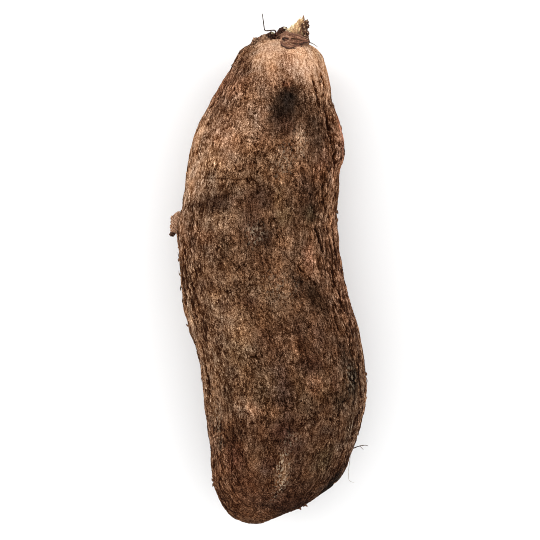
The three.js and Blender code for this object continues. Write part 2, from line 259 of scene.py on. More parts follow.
class Skin:
    """The tuber's grid points: their places, normals, straightened places, and where each is as
    shares of the length and of the outline's half width."""

    def __init__(self):
        self.base = sample_tuber()
        self.normals = normals_of(self.base)
        rows, columns = self.base.shape[:2]
        turn = np.arange(columns) / columns * 2 * math.pi
        turn = np.broadcast_to(turn, (rows, columns))
        steps = np.linalg.norm(np.diff(self.base, axis=0), axis=2).mean(axis=1)
        length = np.concatenate([[0], np.cumsum(steps)])
        run = np.broadcast_to(length[:, None], (rows, columns))
        to_pole = np.minimum(run, length[-1] - run)
        draw = np.sqrt(np.clip(to_pole / END_TAPER, 0, 1))
        radius = AROUND_RADIUS * (END_DRAW + (1 - END_DRAW) * draw)
        self.straight = np.stack([radius * np.cos(turn), run, radius * np.sin(turn)], axis=2)
        self.measure_outline()
        self.roughen()

    def measure_outline(self):
        """Shares along the length and across the outline as seen from above, at every point."""
        self.tip, self.crown = self.base[0, 0, 1], self.base[-1, 0, 1]
        x, y = self.base[..., 0], self.base[..., 1]
        self.share = (y - self.tip) / (self.crown - self.tip)
        self.stations = np.linspace(0.004, 0.996, OUTLINE_BINS)
        bins = np.clip((self.share.ravel() * OUTLINE_BINS).astype(int), 0, OUTLINE_BINS - 1)
        left = np.full(OUTLINE_BINS, np.inf)
        right = np.full(OUTLINE_BINS, -np.inf)
        np.minimum.at(left, bins, x.ravel())
        np.maximum.at(right, bins, x.ravel())
        self.middles, self.halves = (left + right) / 2, (right - left) / 2
        middle = np.interp(self.share, self.stations, self.middles)
        self.half = np.interp(self.share, self.stations, self.halves)
        self.across = np.clip((x - middle) / self.half, -1, 1)
        self.upward = self.normals[..., 2]

    def roughen(self):
        """Places shifted by noise, so that patches get ragged edges and grooves wander and break."""
        wander = layered_noise(self.base / PATCH_RAGGED_SIZE, 81, 3, 0.7)
        drift = layered_noise(self.base / PATCH_RAGGED_SIZE, 84, 3, 0.7)
        self.ragged_along = self.share + PATCH_RAGGED * wander / (self.crown - self.tip)
        side = np.where(self.upward >= 0, 1, -1) * np.arccos(self.across)
        self.ragged_side = side + PATCH_RAGGED * drift / self.half
        places = self.base / GROOVE_RAGGED_SIZE
        self.groove_x = self.base[..., 0] + GROOVE_RAGGED * layered_noise(places, 87, 2)
        self.groove_y = self.base[..., 1] + GROOVE_RAGGED * layered_noise(places, 88, 2)
        self.broken = 0.5 + 0.5 * smooth_step(gradient_noise(self.base / 2.2, 89), -0.35, 0.15)

    def surface_level(self, x, y):
        """Height in mm of the tuber's upper side over a place."""
        away = (self.base[..., 0] - x) ** 2 + (self.base[..., 1] - y) ** 2
        away = np.where(self.upward > 0, away, np.inf)
        return self.base[..., 2].ravel()[np.argmin(away)]

    def near(self, along, across, reach_along, reach_across):
        """A soft spot, 1 at its middle. Along is a share of the length from the root tip, and across
        runs from -1 at the left flank over the top to 1 at the right flank. Reaches are in mm."""
        turned = self.ragged_side - math.acos(across)
        away = np.arctan2(np.sin(turned), np.cos(turned))
        dy = (self.ragged_along - along) * (self.crown - self.tip) / reach_along
        dx = away * self.half / reach_across
        return np.exp(-((PATCH_NARROWING * (dx**2 + dy**2)) ** PATCH_STEEPNESS))

    def seen_place(self, along, across):
        """x and y in mm of a place on the upper side given by its shares."""
        middle = np.interp(along, self.stations, self.middles)
        half = np.interp(along, self.stations, self.halves)
        return np.array([middle + across * half, self.tip + along * (self.crown - self.tip)])

    def groove(self, route, width):
        """1 along a line on the upper side through places given by their shares, fading over its
        width in mm and towards its ends."""
        corners = [self.seen_place(along, across) for along, across in route]
        lengths = [0.0]
        for start, end in zip(corners, corners[1:]):
            lengths.append(lengths[-1] + np.linalg.norm(end - start))
        x, y = self.groove_x, self.groove_y
        nearest = np.full(x.shape, np.inf)
        place = np.zeros(x.shape)
        for k, (start, end) in enumerate(zip(corners, corners[1:])):
            run = end - start
            share = ((x - start[0]) * run[0] + (y - start[1]) * run[1]) / (run @ run)
            share = np.clip(share, 0, 1)
            distance = np.hypot(x - start[0] - share * run[0], y - start[1] - share * run[1])
            closer = distance < nearest
            nearest = np.where(closer, distance, nearest)
            place = np.where(closer, lengths[k] + share * (lengths[k + 1] - lengths[k]), place)
        ends = np.clip(np.minimum(place, lengths[-1] - place) / (0.3 * lengths[-1]) + 0.25, 0, 1)
        return np.exp(-((nearest / width) ** 2)) * ends * self.broken * (self.upward > 0.05)


def stretched(points, across, along):
    """Points scaled so that noise cells are across mm wide and along mm long down the tuber."""
    return points / np.array([across, along, across])


# Lines cut in the upper side: width and depth in mm, darkness, and places along and across
GROOVES = [
    (0.55, 0.9, 1.0, [(0.607, 0.70), (0.585, 0.74), (0.568, 0.775), (0.547, 0.78)]),
    (0.50, 0.8, 0.9, [(0.609, 0.93), (0.58, 0.925), (0.551, 0.94), (0.527, 0.96)]),
    (0.50, 0.4, 0.5, [(0.555, 0.28), (0.54, 0.35), (0.524, 0.42)]),
    (0.50, 0.5, 0.6, [(0.522, 0.46), (0.505, 0.54), (0.484, 0.64)]),
    (0.50, 0.4, 0.5, [(0.552, -0.42), (0.535, -0.34), (0.512, -0.26)]),
    (0.60, 0.4, 0.38, [(0.707, -0.90), (0.704, -0.6), (0.701, -0.31), (0.707, 0.11)]),
    (0.60, 0.5, 0.5, [(0.790, -0.36), (0.787, -0.24), (0.785, -0.10)]),
    (0.55, 0.4, 0.4, [(0.776, -0.86), (0.776, -0.76)]),
    (0.70, 1.3, 1.0, [(0.868, 0.86), (0.83, 0.83), (0.79, 0.82), (0.755, 0.86), (0.738, 0.90)]),
    (0.60, 0.8, 0.8, [(0.924, 0.64), (0.90, 0.70), (0.873, 0.74), (0.85, 0.73)]),
    (0.50, 0.6, 0.8, [(0.93, 0.84), (0.91, 0.87), (0.885, 0.88)]),
    (0.55, 0.7, 0.9, [(0.55, -0.975), (0.51, -0.96), (0.47, -0.955), (0.43, -0.95)]),
    (0.50, 0.7, 0.8, [(0.535, -0.93), (0.49, -0.91), (0.45, -0.88), (0.415, -0.84)]),
    (0.50, 0.6, 0.7, [(0.50, -0.87), (0.47, -0.84), (0.44, -0.79)]),
    (0.50, 0.6, 0.7, [(0.585, -0.90), (0.565, -0.92), (0.54, -0.91)]),
    (0.55, 0.6, 0.7, [(0.66, 0.80), (0.64, 0.84), (0.622, 0.83)]),
    (0.50, 0.6, 0.7, [(0.70, 0.80), (0.68, 0.79)]),
    (0.50, 0.7, 0.8, [(0.535, 0.88), (0.50, 0.86), (0.46, 0.88), (0.43, 0.86)]),
    (0.50, 0.6, 0.7, [(0.45, 0.77), (0.42, 0.74), (0.38, 0.75)]),
    (0.55, 0.6, 0.7, [(0.34, 0.93), (0.29, 0.90), (0.25, 0.93)]),
    (0.45, 0.5, 0.7, [(0.34, -0.93), (0.29, -0.90), (0.24, -0.93)]),
    (0.50, 0.3, 0.45, [(0.29, 0.30), (0.26, 0.33), (0.235, 0.30)]),
    (0.45, 0.3, 0.4, [(0.155, -0.62), (0.12, -0.48), (0.10, -0.40)]),
    (0.45, 0.3, 0.4, [(0.20, -0.80), (0.15, -0.70), (0.09, -0.66)]),
    (0.50, 0.3, 0.35, [(0.62, 0.12), (0.621, 0.2), (0.623, 0.3)]),
]


# Small dark pits: share along, share across, reach in mm, darkness
PITS = [
    (0.783, -0.33, 0.8, 0.6),
    (0.781, -0.24, 0.7, 0.5),
    (0.785, -0.15, 0.7, 0.6),
    (0.775, -0.72, 1.0, 0.8),
    (0.717, -0.28, 1.0, 0.8),
    (0.693, -0.36, 0.9, 0.7),
    (0.723, -0.23, 0.8, 0.6),
    (0.715, -0.06, 0.9, 0.8),
    (0.701, -0.19, 1.0, 0.8),
    (0.735, -0.12, 0.7, 0.6),
    (0.889, -0.66, 1.0, 0.9),
    (0.880, -0.58, 0.8, 0.7),
    (0.905, 0.17, 0.9, 0.8),
    (0.850, -0.33, 0.9, 0.6),
    (0.838, -0.23, 0.8, 0.6),
    (0.640, -0.70, 0.8, 0.6),
    (0.560, -0.50, 1.0, 0.7),
    (0.470, -0.45, 0.9, 0.6),
    (0.340, -0.30, 0.9, 0.7),
    (0.205, -0.40, 1.0, 0.5),
    (0.205, -0.30, 0.9, 0.7),
    (0.268, -0.72, 1.1, 0.7),
    (0.268, -0.60, 0.9, 0.6),
    (0.264, 0.62, 1.0, 0.45),
    (0.246, 0.72, 1.2, 0.9),
    (0.222, 0.66, 1.0, 0.8),
    (0.210, 0.56, 1.0, 0.7),
    (0.133, 0.08, 0.9, 0.8),
]


LUMPS = ((0.9, 26, 21), (0.4, 10, 25))  # height and length in mm, and seed, of broad lumps

# Heights and depths of the relief's other parts, in mm
FLAKE_RISE = 0.35
LONG_FISSURE_DEPTH = 0.7
SHORT_FISSURE_DEPTH = 0.25
WRINKLE_DEPTH = 0.18
PIT_DEPTH = 0.6
LIP_WIDTH = 2.4  # of the pale lips of a groove, as a multiple of its own width

# Broad swells and dips: share along, share across, reach along and across in mm, and rise in mm
SWELLS = [
    (0.955, -0.90, 9, 12, -1.8),
    (0.030, 0.65, 8, 12, 1.6),
    (0.015, -0.60, 6, 9, 0.9),
]


def wanderings(skin):
    """How far the skin's threads wander at each point: a broad and a fine share of it."""
    return [
        np.stack([gradient_noise(skin.base / size, seed) for seed in seeds], axis=2)
        for size, seeds in ((9, (11, 12, 13)), (3, (14, 15, 16)))
    ]


def fissures_of(skin, threads):
    """Long torn fissures, mostly on the flanks, and short ones between strips of cork, both from
    0 to 1, and a random number for each strip."""
    flank = np.abs(skin.across) ** 1.9
    ropes, _ = cell_noise(stretched(threads, 2.8, 26), 44)
    torn = smooth_step(gradient_noise(stretched(threads, 4, 18), 45), -0.35, 0.05)
    long_ones = (1 - smooth_step(ropes, 0.03, 0.19)) * torn * (0.10 + 0.90 * flank)
    patchy = smooth_step(gradient_noise(stretched(skin.base, 14, 22), 43), -0.45, 0.35)
    strips, number = cell_noise(stretched(threads, 2.2, 6.5), 46)
    short_ones = (1 - smooth_step(strips, 0.03, 0.26)) * (0.2 + 0.8 * patchy)
    return long_ones, short_ones * (0.30 + 0.30 * flank), number


def flakes_of(drift, number):
    """Raised flakes of cork, from 0 to 1."""
    worms = gradient_noise(stretched(drift, 1.15, 1.8), 31)
    coarse = gradient_noise(stretched(drift, 2.6, 4.0), 32)
    return smooth_step(0.7 * worms + 0.6 * coarse + 0.6 * (number - 0.5), -0.75, 0.75)


def wrinkles_of(skin, drift):
    """Thin winding wrinkles, from 0 to 1, stronger in some places than in others."""
    winding = gradient_noise(stretched(drift, 1.5, 3.4), 33)
    strength = 0.35 + 0.65 * smooth_step(gradient_noise(skin.base / 8, 34), -0.3, 0.3)
    return (1 - smooth_step(np.abs(winding), 0.0, 0.20)) * strength


def outline_shade_of(skin, threads):
    """Painted shade: a dark broken line along the very edge of the outline as seen from above, from 0
    to 1.
    """
    shade_breaks = smooth_step(gradient_noise(stretched(threads, 3, 15), 47), -0.25, 0.25)
    return 0.35 * shade_breaks * smooth_step(np.abs(skin.across), 0.965, 0.995) * (skin.upward > -0.2)


def relief_of(skin):
    """Height of the skin's relief in mm, and its parts from 0 to 1 for the material."""
    wander, tremble = wanderings(skin)
    threads = skin.straight + 1.6 * wander + 0.5 * tremble
    drift = skin.base + 1.2 * wander + 0.5 * tremble
    long_fissures, short_fissures, number = fissures_of(skin, threads)
    flakes = flakes_of(drift, number)
    wrinkles = wrinkles_of(skin, drift)
    height = sum(rise * layered_noise(skin.base / size, seed, 2) for rise, size, seed in LUMPS)
    height = height + FLAKE_RISE * (flakes - 0.5)
    height = height - LONG_FISSURE_DEPTH * long_fissures - SHORT_FISSURE_DEPTH * short_fissures
    height = height - WRINKLE_DEPTH * wrinkles
    fissures = np.maximum(np.maximum(long_fissures, short_fissures), 0.75 * wrinkles)
    for along, across, reach_along, reach_across, rise in SWELLS:
        height = height + rise * skin.near(along, across, reach_along, reach_across)
    # starts with the painted shade along the outline; the real grooves and pits are added to it below
    cracks_and_outline_shade = outline_shade_of(skin, threads)
    lips = np.zeros(cracks_and_outline_shade.shape)
    for width, depth, darkness, route in GROOVES:
        line = skin.groove(route, width + 0.1)
        height = height - depth * line
        cracks_and_outline_shade = np.maximum(cracks_and_outline_shade, darkness * line)
        lips = np.maximum(lips, darkness * (skin.groove(route, LIP_WIDTH * width) - line))
    for along, across, reach, darkness in PITS:
        pit = skin.near(along, across, reach, reach)
        height = height - PIT_DEPTH * pit
        cracks_and_outline_shade = np.maximum(cracks_and_outline_shade, darkness * pit)
        lips = np.maximum(lips, 0.6 * (skin.near(along, across, 2 * reach, 2 * reach) - pit))
    fissures = np.clip(fissures, 0, 1)
    return height, {"flakes": flakes, "fissures": fissures, "cracks_and_outline_shade": cracks_and_outline_shade, "lips": lips}


PAINT_GAIN = 1.11  # fissures and grain darken the painted colours, and this makes up for it
FLANK_PAINTED_LIGHT = 0.26  # painted light: brightens the flanks to make up for the light that they lose
MOTTLE = 0.16  # strength of broad light and dark mottling
MOTTLE_UNDER = 0.24  # how much stronger it is on the underside

# Colours of the skin at shares of the length from the root tip: down the left flank, down the
# middle of the upper side and down the right flank, in sRGB
SKIN_COLOURS = [
    (0.00, (84, 57, 39), (84, 56, 38), (70, 48, 36)),
    (0.04, (90, 61, 42), (74, 46, 30), (56, 38, 27)),
    (0.11, (98, 69, 50), (90, 63, 43), (84, 61, 46)),
    (0.19, (98, 70, 51), (82, 56, 39), (90, 68, 52)),
    (0.27, (117, 87, 65), (91, 66, 46), (78, 58, 43)),
    (0.35, (106, 79, 59), (85, 57, 39), (90, 65, 48)),
    (0.43, (121, 91, 69), (95, 68, 48), (104, 74, 56)),
    (0.51, (108, 82, 62), (102, 73, 52), (110, 78, 58)),
    (0.59, (126, 93, 71), (92, 65, 46), (108, 78, 58)),
    (0.67, (126, 99, 78), (94, 67, 47), (104, 75, 55)),
    (0.75, (140, 108, 83), (110, 79, 56), (120, 85, 64)),
    (0.83, (130, 98, 75), (112, 82, 61), (117, 85, 65)),
    (0.91, (116, 81, 61), (136, 100, 76), (148, 114, 87)),
    (0.97, (116, 84, 63), (180, 141, 109), (176, 140, 110)),
    (1.00, (104, 76, 57), (120, 90, 68), (120, 92, 70)),
]

# Patches: share along, share across, reach along and across in mm, sRGB, and strength
PATCHES = [
    (0.965, -0.22, 10, 9, (198, 161, 133), 0.95),
    (0.968, 0.50, 8, 8, (212, 174, 146), 0.95),
    (0.938, 0.52, 8, 8, (197, 159, 132), 0.9),
    (0.925, 0.86, 8, 5, (186, 146, 118), 0.85),
    (0.940, -0.72, 8, 6, (104, 72, 52), 0.8),
    (0.900, -0.92, 8, 6, (104, 70, 50), 0.85),
    (0.860, -0.84, 5, 7, (92, 63, 45), 0.8),
    (0.895, 0.74, 6, 4, (156, 120, 94), 0.7),
    (0.948, 0.18, 8, 4.5, (152, 112, 88), 0.75),
    (0.885, -0.64, 5, 5, (158, 118, 94), 0.7),
    (0.925, -0.10, 7, 8, (150, 112, 86), 0.7),
    (0.862, 0.24, 10, 9, (40, 27, 19), 1.0),
    (0.830, 0.12, 6, 9, (50, 33, 23), 0.95),
    (0.850, 0.50, 7, 6, (82, 58, 42), 0.8),
    (0.885, 0.20, 4, 5, (84, 58, 42), 0.7),
    (0.840, -0.15, 5, 4, (144, 106, 81), 0.75),
    (0.900, 0.20, 2, 2.5, (108, 68, 48), 0.8),
    (0.790, -0.60, 12, 12, (164, 123, 96), 0.85),
    (0.790, -0.93, 9, 6, (168, 132, 104), 0.8),
    (0.745, -0.70, 9, 9, (146, 114, 88), 0.7),
    (0.835, -0.45, 4, 4, (160, 121, 94), 0.8),
    (0.790, -0.08, 7, 6, (108, 74, 53), 0.6),
    (0.812, 0.27, 3, 4, (80, 53, 37), 0.8),
    (0.785, 0.42, 7, 2.4, (158, 124, 98), 0.9),
    (0.810, 0.64, 9, 7, (70, 50, 36), 0.9),
    (0.740, 0.72, 8, 4, (134, 96, 74), 0.75),
    (0.700, 0.55, 7, 6, (78, 52, 37), 0.8),
    (0.660, 0.62, 9, 8, (70, 47, 33), 0.9),
    (0.715, 0.92, 6, 3, (94, 63, 46), 0.6),
    (0.680, -0.87, 5, 5, (156, 128, 106), 0.85),
    (0.655, -0.68, 5, 11, (78, 56, 41), 0.9),
    (0.660, -0.50, 4, 5, (72, 50, 36), 0.9),
    (0.660, -0.33, 2.5, 3, (118, 84, 62), 0.7),
    (0.670, 0.00, 6, 7, (74, 50, 35), 0.85),
    (0.665, 0.22, 7, 3, (106, 79, 55), 0.7),
    (0.620, -0.50, 6, 12, (126, 96, 72), 0.75),
    (0.590, -0.93, 9, 5, (136, 102, 78), 0.7),
    (0.620, 0.00, 6, 5, (76, 51, 36), 0.8),
    (0.580, 0.04, 6, 8, (52, 33, 23), 1.0),
    (0.600, -0.10, 6, 4, (84, 56, 40), 0.7),
    (0.625, 0.32, 5, 4, (102, 78, 54), 0.7),
    (0.628, 0.65, 5, 5, (64, 49, 33), 0.85),
    (0.577, 0.35, 4, 4, (126, 93, 69), 0.75),
    (0.540, 0.60, 8, 3.5, (136, 95, 72), 0.8),
    (0.565, -0.42, 6, 4, (78, 56, 39), 0.85),
    (0.570, -0.80, 5, 4, (92, 65, 48), 0.75),
    (0.530, -0.42, 4, 5, (84, 58, 39), 0.75),
    (0.535, 0.02, 5, 5, (76, 50, 34), 0.8),
    (0.560, 0.85, 9, 3, (92, 63, 46), 0.5),
    (0.540, 0.96, 8, 2.5, (72, 46, 33), 0.7),
    (0.485, -0.62, 4, 5, (96, 68, 49), 0.7),
    (0.480, -0.93, 6, 3, (92, 67, 51), 0.7),
    (0.480, 0.05, 6, 6, (112, 83, 60), 0.6),
    (0.465, 0.57, 7, 6, (48, 32, 21), 1.0),
    (0.435, 0.64, 6, 5, (62, 43, 30), 0.85),
    (0.450, 0.93, 6, 3, (124, 91, 70), 0.7),
    (0.450, -0.20, 4, 5, (76, 50, 36), 0.8),
    (0.445, -0.58, 7, 7, (132, 100, 74), 0.8),
    (0.385, -0.38, 12, 6, (132, 100, 74), 0.85),
    (0.425, -0.93, 6, 4, (136, 108, 84), 0.7),
    (0.375, -0.12, 7, 4, (80, 53, 37), 0.75),
    (0.380, 0.12, 5, 5, (112, 80, 59), 0.75),
    (0.390, 0.28, 10, 3.5, (58, 36, 24), 0.9),
    (0.385, 0.48, 8, 5, (78, 52, 38), 0.75),
    (0.395, 0.80, 6, 4, (104, 77, 58), 0.6),
    (0.340, 0.13, 3.5, 3, (118, 88, 66), 0.75),
    (0.335, -0.80, 6, 4, (136, 105, 81), 0.75),
    (0.335, -0.98, 6, 2.5, (80, 59, 46), 0.7),
    (0.340, -0.50, 9, 7, (120, 92, 66), 0.6),
    (0.350, -0.20, 5, 4, (84, 58, 40), 0.7),
    (0.275, -0.02, 14, 6, (66, 44, 34), 0.9),
    (0.200, 0.00, 9, 6, (62, 41, 32), 0.75),
    (0.280, -0.24, 7, 6, (110, 84, 62), 0.6),
    (0.285, 0.35, 6, 5, (116, 80, 58), 0.65),
    (0.285, 0.60, 6, 4, (106, 73, 55), 0.6),
    (0.325, 0.35, 5, 6, (64, 38, 26), 0.85),
    (0.290, 0.83, 12, 4, (38, 27, 19), 1.0),
    (0.335, 0.74, 7, 4, (58, 41, 30), 0.8),
    (0.260, 0.985, 16, 3, (150, 118, 94), 0.85),
    (0.250, 0.66, 3.5, 4, (50, 34, 22), 0.9),
    (0.228, -0.40, 3.5, 5, (148, 111, 86), 0.9),
    (0.235, -0.88, 9, 4, (146, 113, 86), 0.85),
    (0.268, -0.68, 3.5, 4, (88, 64, 46), 0.75),
    (0.220, -0.12, 3.5, 3.5, (114, 82, 59), 0.7),
    (0.205, 0.10, 4.5, 4.5, (64, 43, 31), 0.8),
    (0.238, 0.50, 5, 5, (78, 53, 37), 0.7),
    (0.172, -0.64, 8, 8, (66, 43, 28), 0.85),
    (0.172, -0.28, 6, 5, (90, 59, 39), 0.7),
    (0.180, -0.02, 6, 6, (60, 36, 26), 0.85),
    (0.160, 0.25, 5, 5, (94, 66, 49), 0.6),
    (0.190, 0.85, 8, 4, (84, 66, 50), 0.7),
    (0.125, 0.62, 7, 6, (74, 58, 40), 0.8),
    (0.220, 0.94, 8, 3, (106, 79, 61), 0.6),
    (0.125, -0.65, 9, 7, (90, 54, 38), 0.85),
    (0.075, -0.45, 10, 10, (84, 53, 36), 0.7),
    (0.128, 0.02, 4, 1.6, (122, 92, 67), 0.85),
    (0.095, 0.10, 5, 1.6, (116, 86, 62), 0.85),
    (0.132, 0.07, 2.5, 2, (56, 35, 24), 0.8),
    (0.070, 0.30, 4.5, 4.5, (74, 50, 35), 0.6),
    (0.075, 0.92, 6, 7, (24, 19, 14), 1.0),
    (0.052, 0.97, 6, 6, (24, 19, 14), 1.0),
    (0.030, 0.55, 4, 8, (34, 19, 12), 0.95),
    (0.045, -0.75, 6, 6, (94, 63, 43), 0.6),
    (0.012, 0.00, 4, 6, (90, 60, 41), 0.6),
    (0.150, 0.94, 7, 3, (98, 73, 56), 0.6),
    (0.915, 0.99, 4, 3, (164, 112, 86), 0.7),
    (0.810, 0.985, 8, 2.2, (176, 122, 100), 0.85),
    (0.770, 0.97, 6, 3, (128, 82, 62), 0.8),
    (0.800, 0.90, 12, 2.5, (112, 80, 60), 0.6),
    (0.345, 0.985, 14, 3, (142, 112, 88), 0.85),
    (0.690, 0.93, 10, 4, (142, 106, 82), 0.85),
    (0.600, 0.965, 14, 3, (130, 96, 74), 0.8),
    (0.520, 0.985, 14, 3, (128, 94, 72), 0.8),
    (0.690, -0.93, 9, 5, (150, 120, 96), 0.85),
    (0.485, -0.98, 9, 4, (132, 102, 80), 0.8),
    (0.485, -0.72, 5, 4, (78, 54, 39), 0.8),
    (0.485, 0.42, 4, 4, (72, 49, 35), 0.5),
    (0.645, -0.06, 9, 9, (70, 48, 36), 0.85),
    (0.610, -0.99, 8, 3, (142, 110, 86), 0.8),
    (0.610, -0.35, 5, 4, (122, 91, 68), 0.75),
    (0.320, -0.78, 9, 6, (138, 108, 83), 0.8),
    (0.045, 0.20, 7, 8, (64, 40, 27), 0.8),
    (0.110, 0.25, 6, 5, (72, 49, 36), 0.8),
    (0.145, 0.15, 4, 6, (66, 44, 33), 0.8),
    (0.420, -0.55, 3, 6, (100, 73, 53), 0.6),
    (0.730, -0.20, 3, 5, (90, 61, 43), 0.6),
    (0.500, 0.15, 4, 4, (90, 62, 44), 0.7),
    (0.520, -0.20, 4, 4, (86, 60, 42), 0.7),
    (0.400, 0.05, 4, 3, (82, 55, 38), 0.7),
    (0.360, -0.65, 3, 5, (98, 70, 50), 0.7),
    (0.595, 0.55, 5, 3, (112, 82, 60), 0.7),
    (0.500, -0.40, 4, 3, (112, 84, 62), 0.7),
    (0.630, 0.10, 3, 4, (96, 68, 48), 0.6),
    (0.808, 0.60, 9, 6, (74, 52, 38), 0.55),
    (0.770, 0.62, 8, 5, (80, 57, 42), 0.5),
    (0.845, 0.20, 6, 6, (34, 24, 18), 1.0),
    (0.872, 0.27, 5, 5, (34, 24, 18), 1.0),
    (0.811, 0.21, 5, 6, (72, 48, 35), 0.85),
    (0.770, 0.24, 5, 5, (84, 57, 41), 0.7),
    (0.648, -0.55, 5, 9, (72, 50, 36), 0.9),
    (0.443, -0.51, 4, 5, (90, 62, 45), 0.75),
    (0.484, 0.44, 4, 4, (66, 45, 32), 0.6),
    (0.730, -0.87, 7, 6, (156, 122, 96), 0.8),
    (0.689, -0.84, 6, 7, (164, 132, 108), 0.9),
    (0.156, 0.08, 5, 7, (60, 40, 30), 0.9),
    (0.115, -0.15, 6, 5, (72, 47, 35), 0.8),
    (0.238, -0.55, 4, 5, (130, 98, 74), 0.8),
    (0.115, -0.82, 7, 5, (112, 78, 56), 0.8),
    (0.320, 0.30, 5, 7, (62, 40, 28), 0.85),
    (0.272, -0.10, 5, 4, (92, 66, 50), 0.5),
    (0.893, 0.93, 7, 4, (150, 116, 92), 0.8),
    (0.850, 0.95, 7, 4, (132, 100, 78), 0.7),
    (0.033, 0.45, 6, 8, (54, 33, 22), 0.9),
    (0.975, -0.20, 3, 4, (150, 112, 88), 0.6),
    (0.550, -0.95, 16, 4, (134, 104, 82), 0.7),
    (0.470, -0.90, 10, 5, (122, 94, 72), 0.6),
    (0.300, -0.93, 14, 5, (132, 102, 78), 0.7),
    (0.355, -0.45, 8, 7, (118, 90, 66), 0.6),
    (0.870, -0.35, 6, 8, (136, 102, 78), 0.6),
    (0.800, -0.35, 7, 8, (148, 112, 86), 0.6),
]


# Places with pale yellowish flecks: share along, share across, reach along and across in mm, amount
FLECKED = [
    (0.115, 0.04, 8, 3, 0.7),
    (0.075, 0.10, 7, 2.5, 0.75),
    (0.165, 0.12, 4, 4, 0.3),
    (0.590, -0.02, 6, 5, 0.45),
    (0.780, 0.42, 8, 4, 0.4),
    (0.740, 0.25, 9, 6, 0.3),
    (0.300, 0.80, 9, 4, 0.35),
    (0.480, 0.20, 9, 9, 0.2),
    (0.200, -0.85, 14, 4, 0.3),
]


def fleck_mask(skin):
    """How many pale flecks the skin has at each grid point, from 0 to 1."""
    mask = 0.25 * smooth_step(layered_noise(skin.base / 17, 91, 2), 0.2, 0.7) * (skin.upward < 0)
    for along, across, reach_along, reach_across, amount in FLECKED:
        mask = np.maximum(mask, amount * skin.near(along, across, reach_along, reach_across))
    return mask


def linear(srgb):
    """sRGB from 0 to 255 as linear light from 0 to 1."""
    value = np.asarray(srgb, float) / 255
    return np.where(value <= 0.04045, value / 12.92, ((value + 0.055) / 1.055) ** 2.4)


def colours_along(skin, column):
    """The colours of one column of SKIN_COLOURS at every point's share of the length."""
    places = [row[0] for row in SKIN_COLOURS]
    channels = linear([row[column] for row in SKIN_COLOURS]).T
    return np.stack([np.interp(skin.share, places, channel) for channel in channels], axis=2)


def skin_colour(skin):
    """The skin's broad colour at each grid point, in linear light, with painted light brightening the
    flanks.
    """
    left, middle, right = (colours_along(skin, column) for column in (1, 2, 3))
    across = skin.across[..., None]
    weight = np.abs(across) ** 1.5
    colour = middle * (1 - weight) + np.where(across < 0, left, right) * weight
    under = smooth_step(-skin.upward, 0.0, 0.5)
    mottle = layered_noise(stretched(skin.base, 13, 20), 61, 3, 0.65)
    warm = layered_noise(skin.base / 9, 71, 2)[..., None]
    colour = colour * np.exp((MOTTLE + MOTTLE_UNDER * under) * mottle)[..., None]
    for along, across, reach_along, reach_across, srgb, strength in PATCHES:
        spot = strength * skin.near(along, across, reach_along, reach_across)[..., None]
        colour = colour * (1 - spot) + linear(srgb) * spot
    # painted light: the flanks of the upper side are made paler to make up for the light that they lose
    flank = smooth_step(np.abs(skin.across), 0.75, 0.98) * smooth_step(skin.upward, -0.3, 0.0)
    colour = colour * (1 + FLANK_PAINTED_LIGHT * flank)[..., None]
    return colour * (1 + warm * np.array([0.10, 0.0, -0.12])) * PAINT_GAIN


# ---------------------------------------------------------------- meshes


def mesh_object(name, points, faces):
    """A smooth-shaded mesh object from points in mm and a list of faces given as indices."""
    mesh = bpy.data.meshes.new(name)
    vertices = np.asarray(points, np.float64).reshape(-1, 3) * MM
    mesh.from_pydata(vertices.tolist(), [], faces)
    mesh.update()
    mesh.polygons.foreach_set("use_smooth", np.full(len(mesh.polygons), True))
    piece = bpy.data.objects.new(name, mesh)
    bpy.context.scene.collection.objects.link(piece)
    return piece


def store(piece, name, kind, key, values):
    """Keeps one value per point on the mesh, for the material."""
    attribute = piece.data.attributes.new(name, kind, "POINT")
    attribute.data.foreach_set(key, np.asarray(values, np.float32).ravel())


def store_colours(piece, name, colours):
    """Keeps one linear colour per point on the mesh, for the material."""
    flat = np.asarray(colours, np.float32).reshape(-1, 3)
    opaque = np.ones((len(flat), 1), np.float32)
    store(piece, name, "FLOAT_COLOR", "color", np.concatenate([flat, opaque], axis=1))


def grid_faces(rows, columns):
    """Quads of a grid closed round its columns, and the places of their corners in the UV square."""
    row, column = np.mgrid[0 : rows - 1, 0:columns]
    following = (column + 1) % columns
    faces = np.stack(
        [
            row * columns + column,
            row * columns + following,
            (row + 1) * columns + following,
            (row + 1) * columns + column,
        ],
        axis=2,
    ).reshape(-1, 4)
    u = np.stack([column, column + 1, column + 1, column], axis=2).reshape(-1, 4) / columns
    v = np.stack([row, row, row + 1, row + 1], axis=2).reshape(-1, 4) / (rows - 1)
    return faces, np.stack([u, v], axis=2)


FLOOR_GAP = 0.02  # mm; the relief never sinks into the floor


def closed_faces(rows, columns):
    """Faces of a grid closed round its columns and drawn in to a point at each end. Those two
    points follow the grid's own."""
    faces = grid_faces(rows, columns)[0].tolist()
    first_end, last_end = rows * columns, rows * columns + 1
    last_row = (rows - 1) * columns
    for column in range(columns):
        following = (column + 1) % columns
        faces.append((first_end, following, column))
        faces.append((last_end, last_row + column, last_row + following))
    return faces


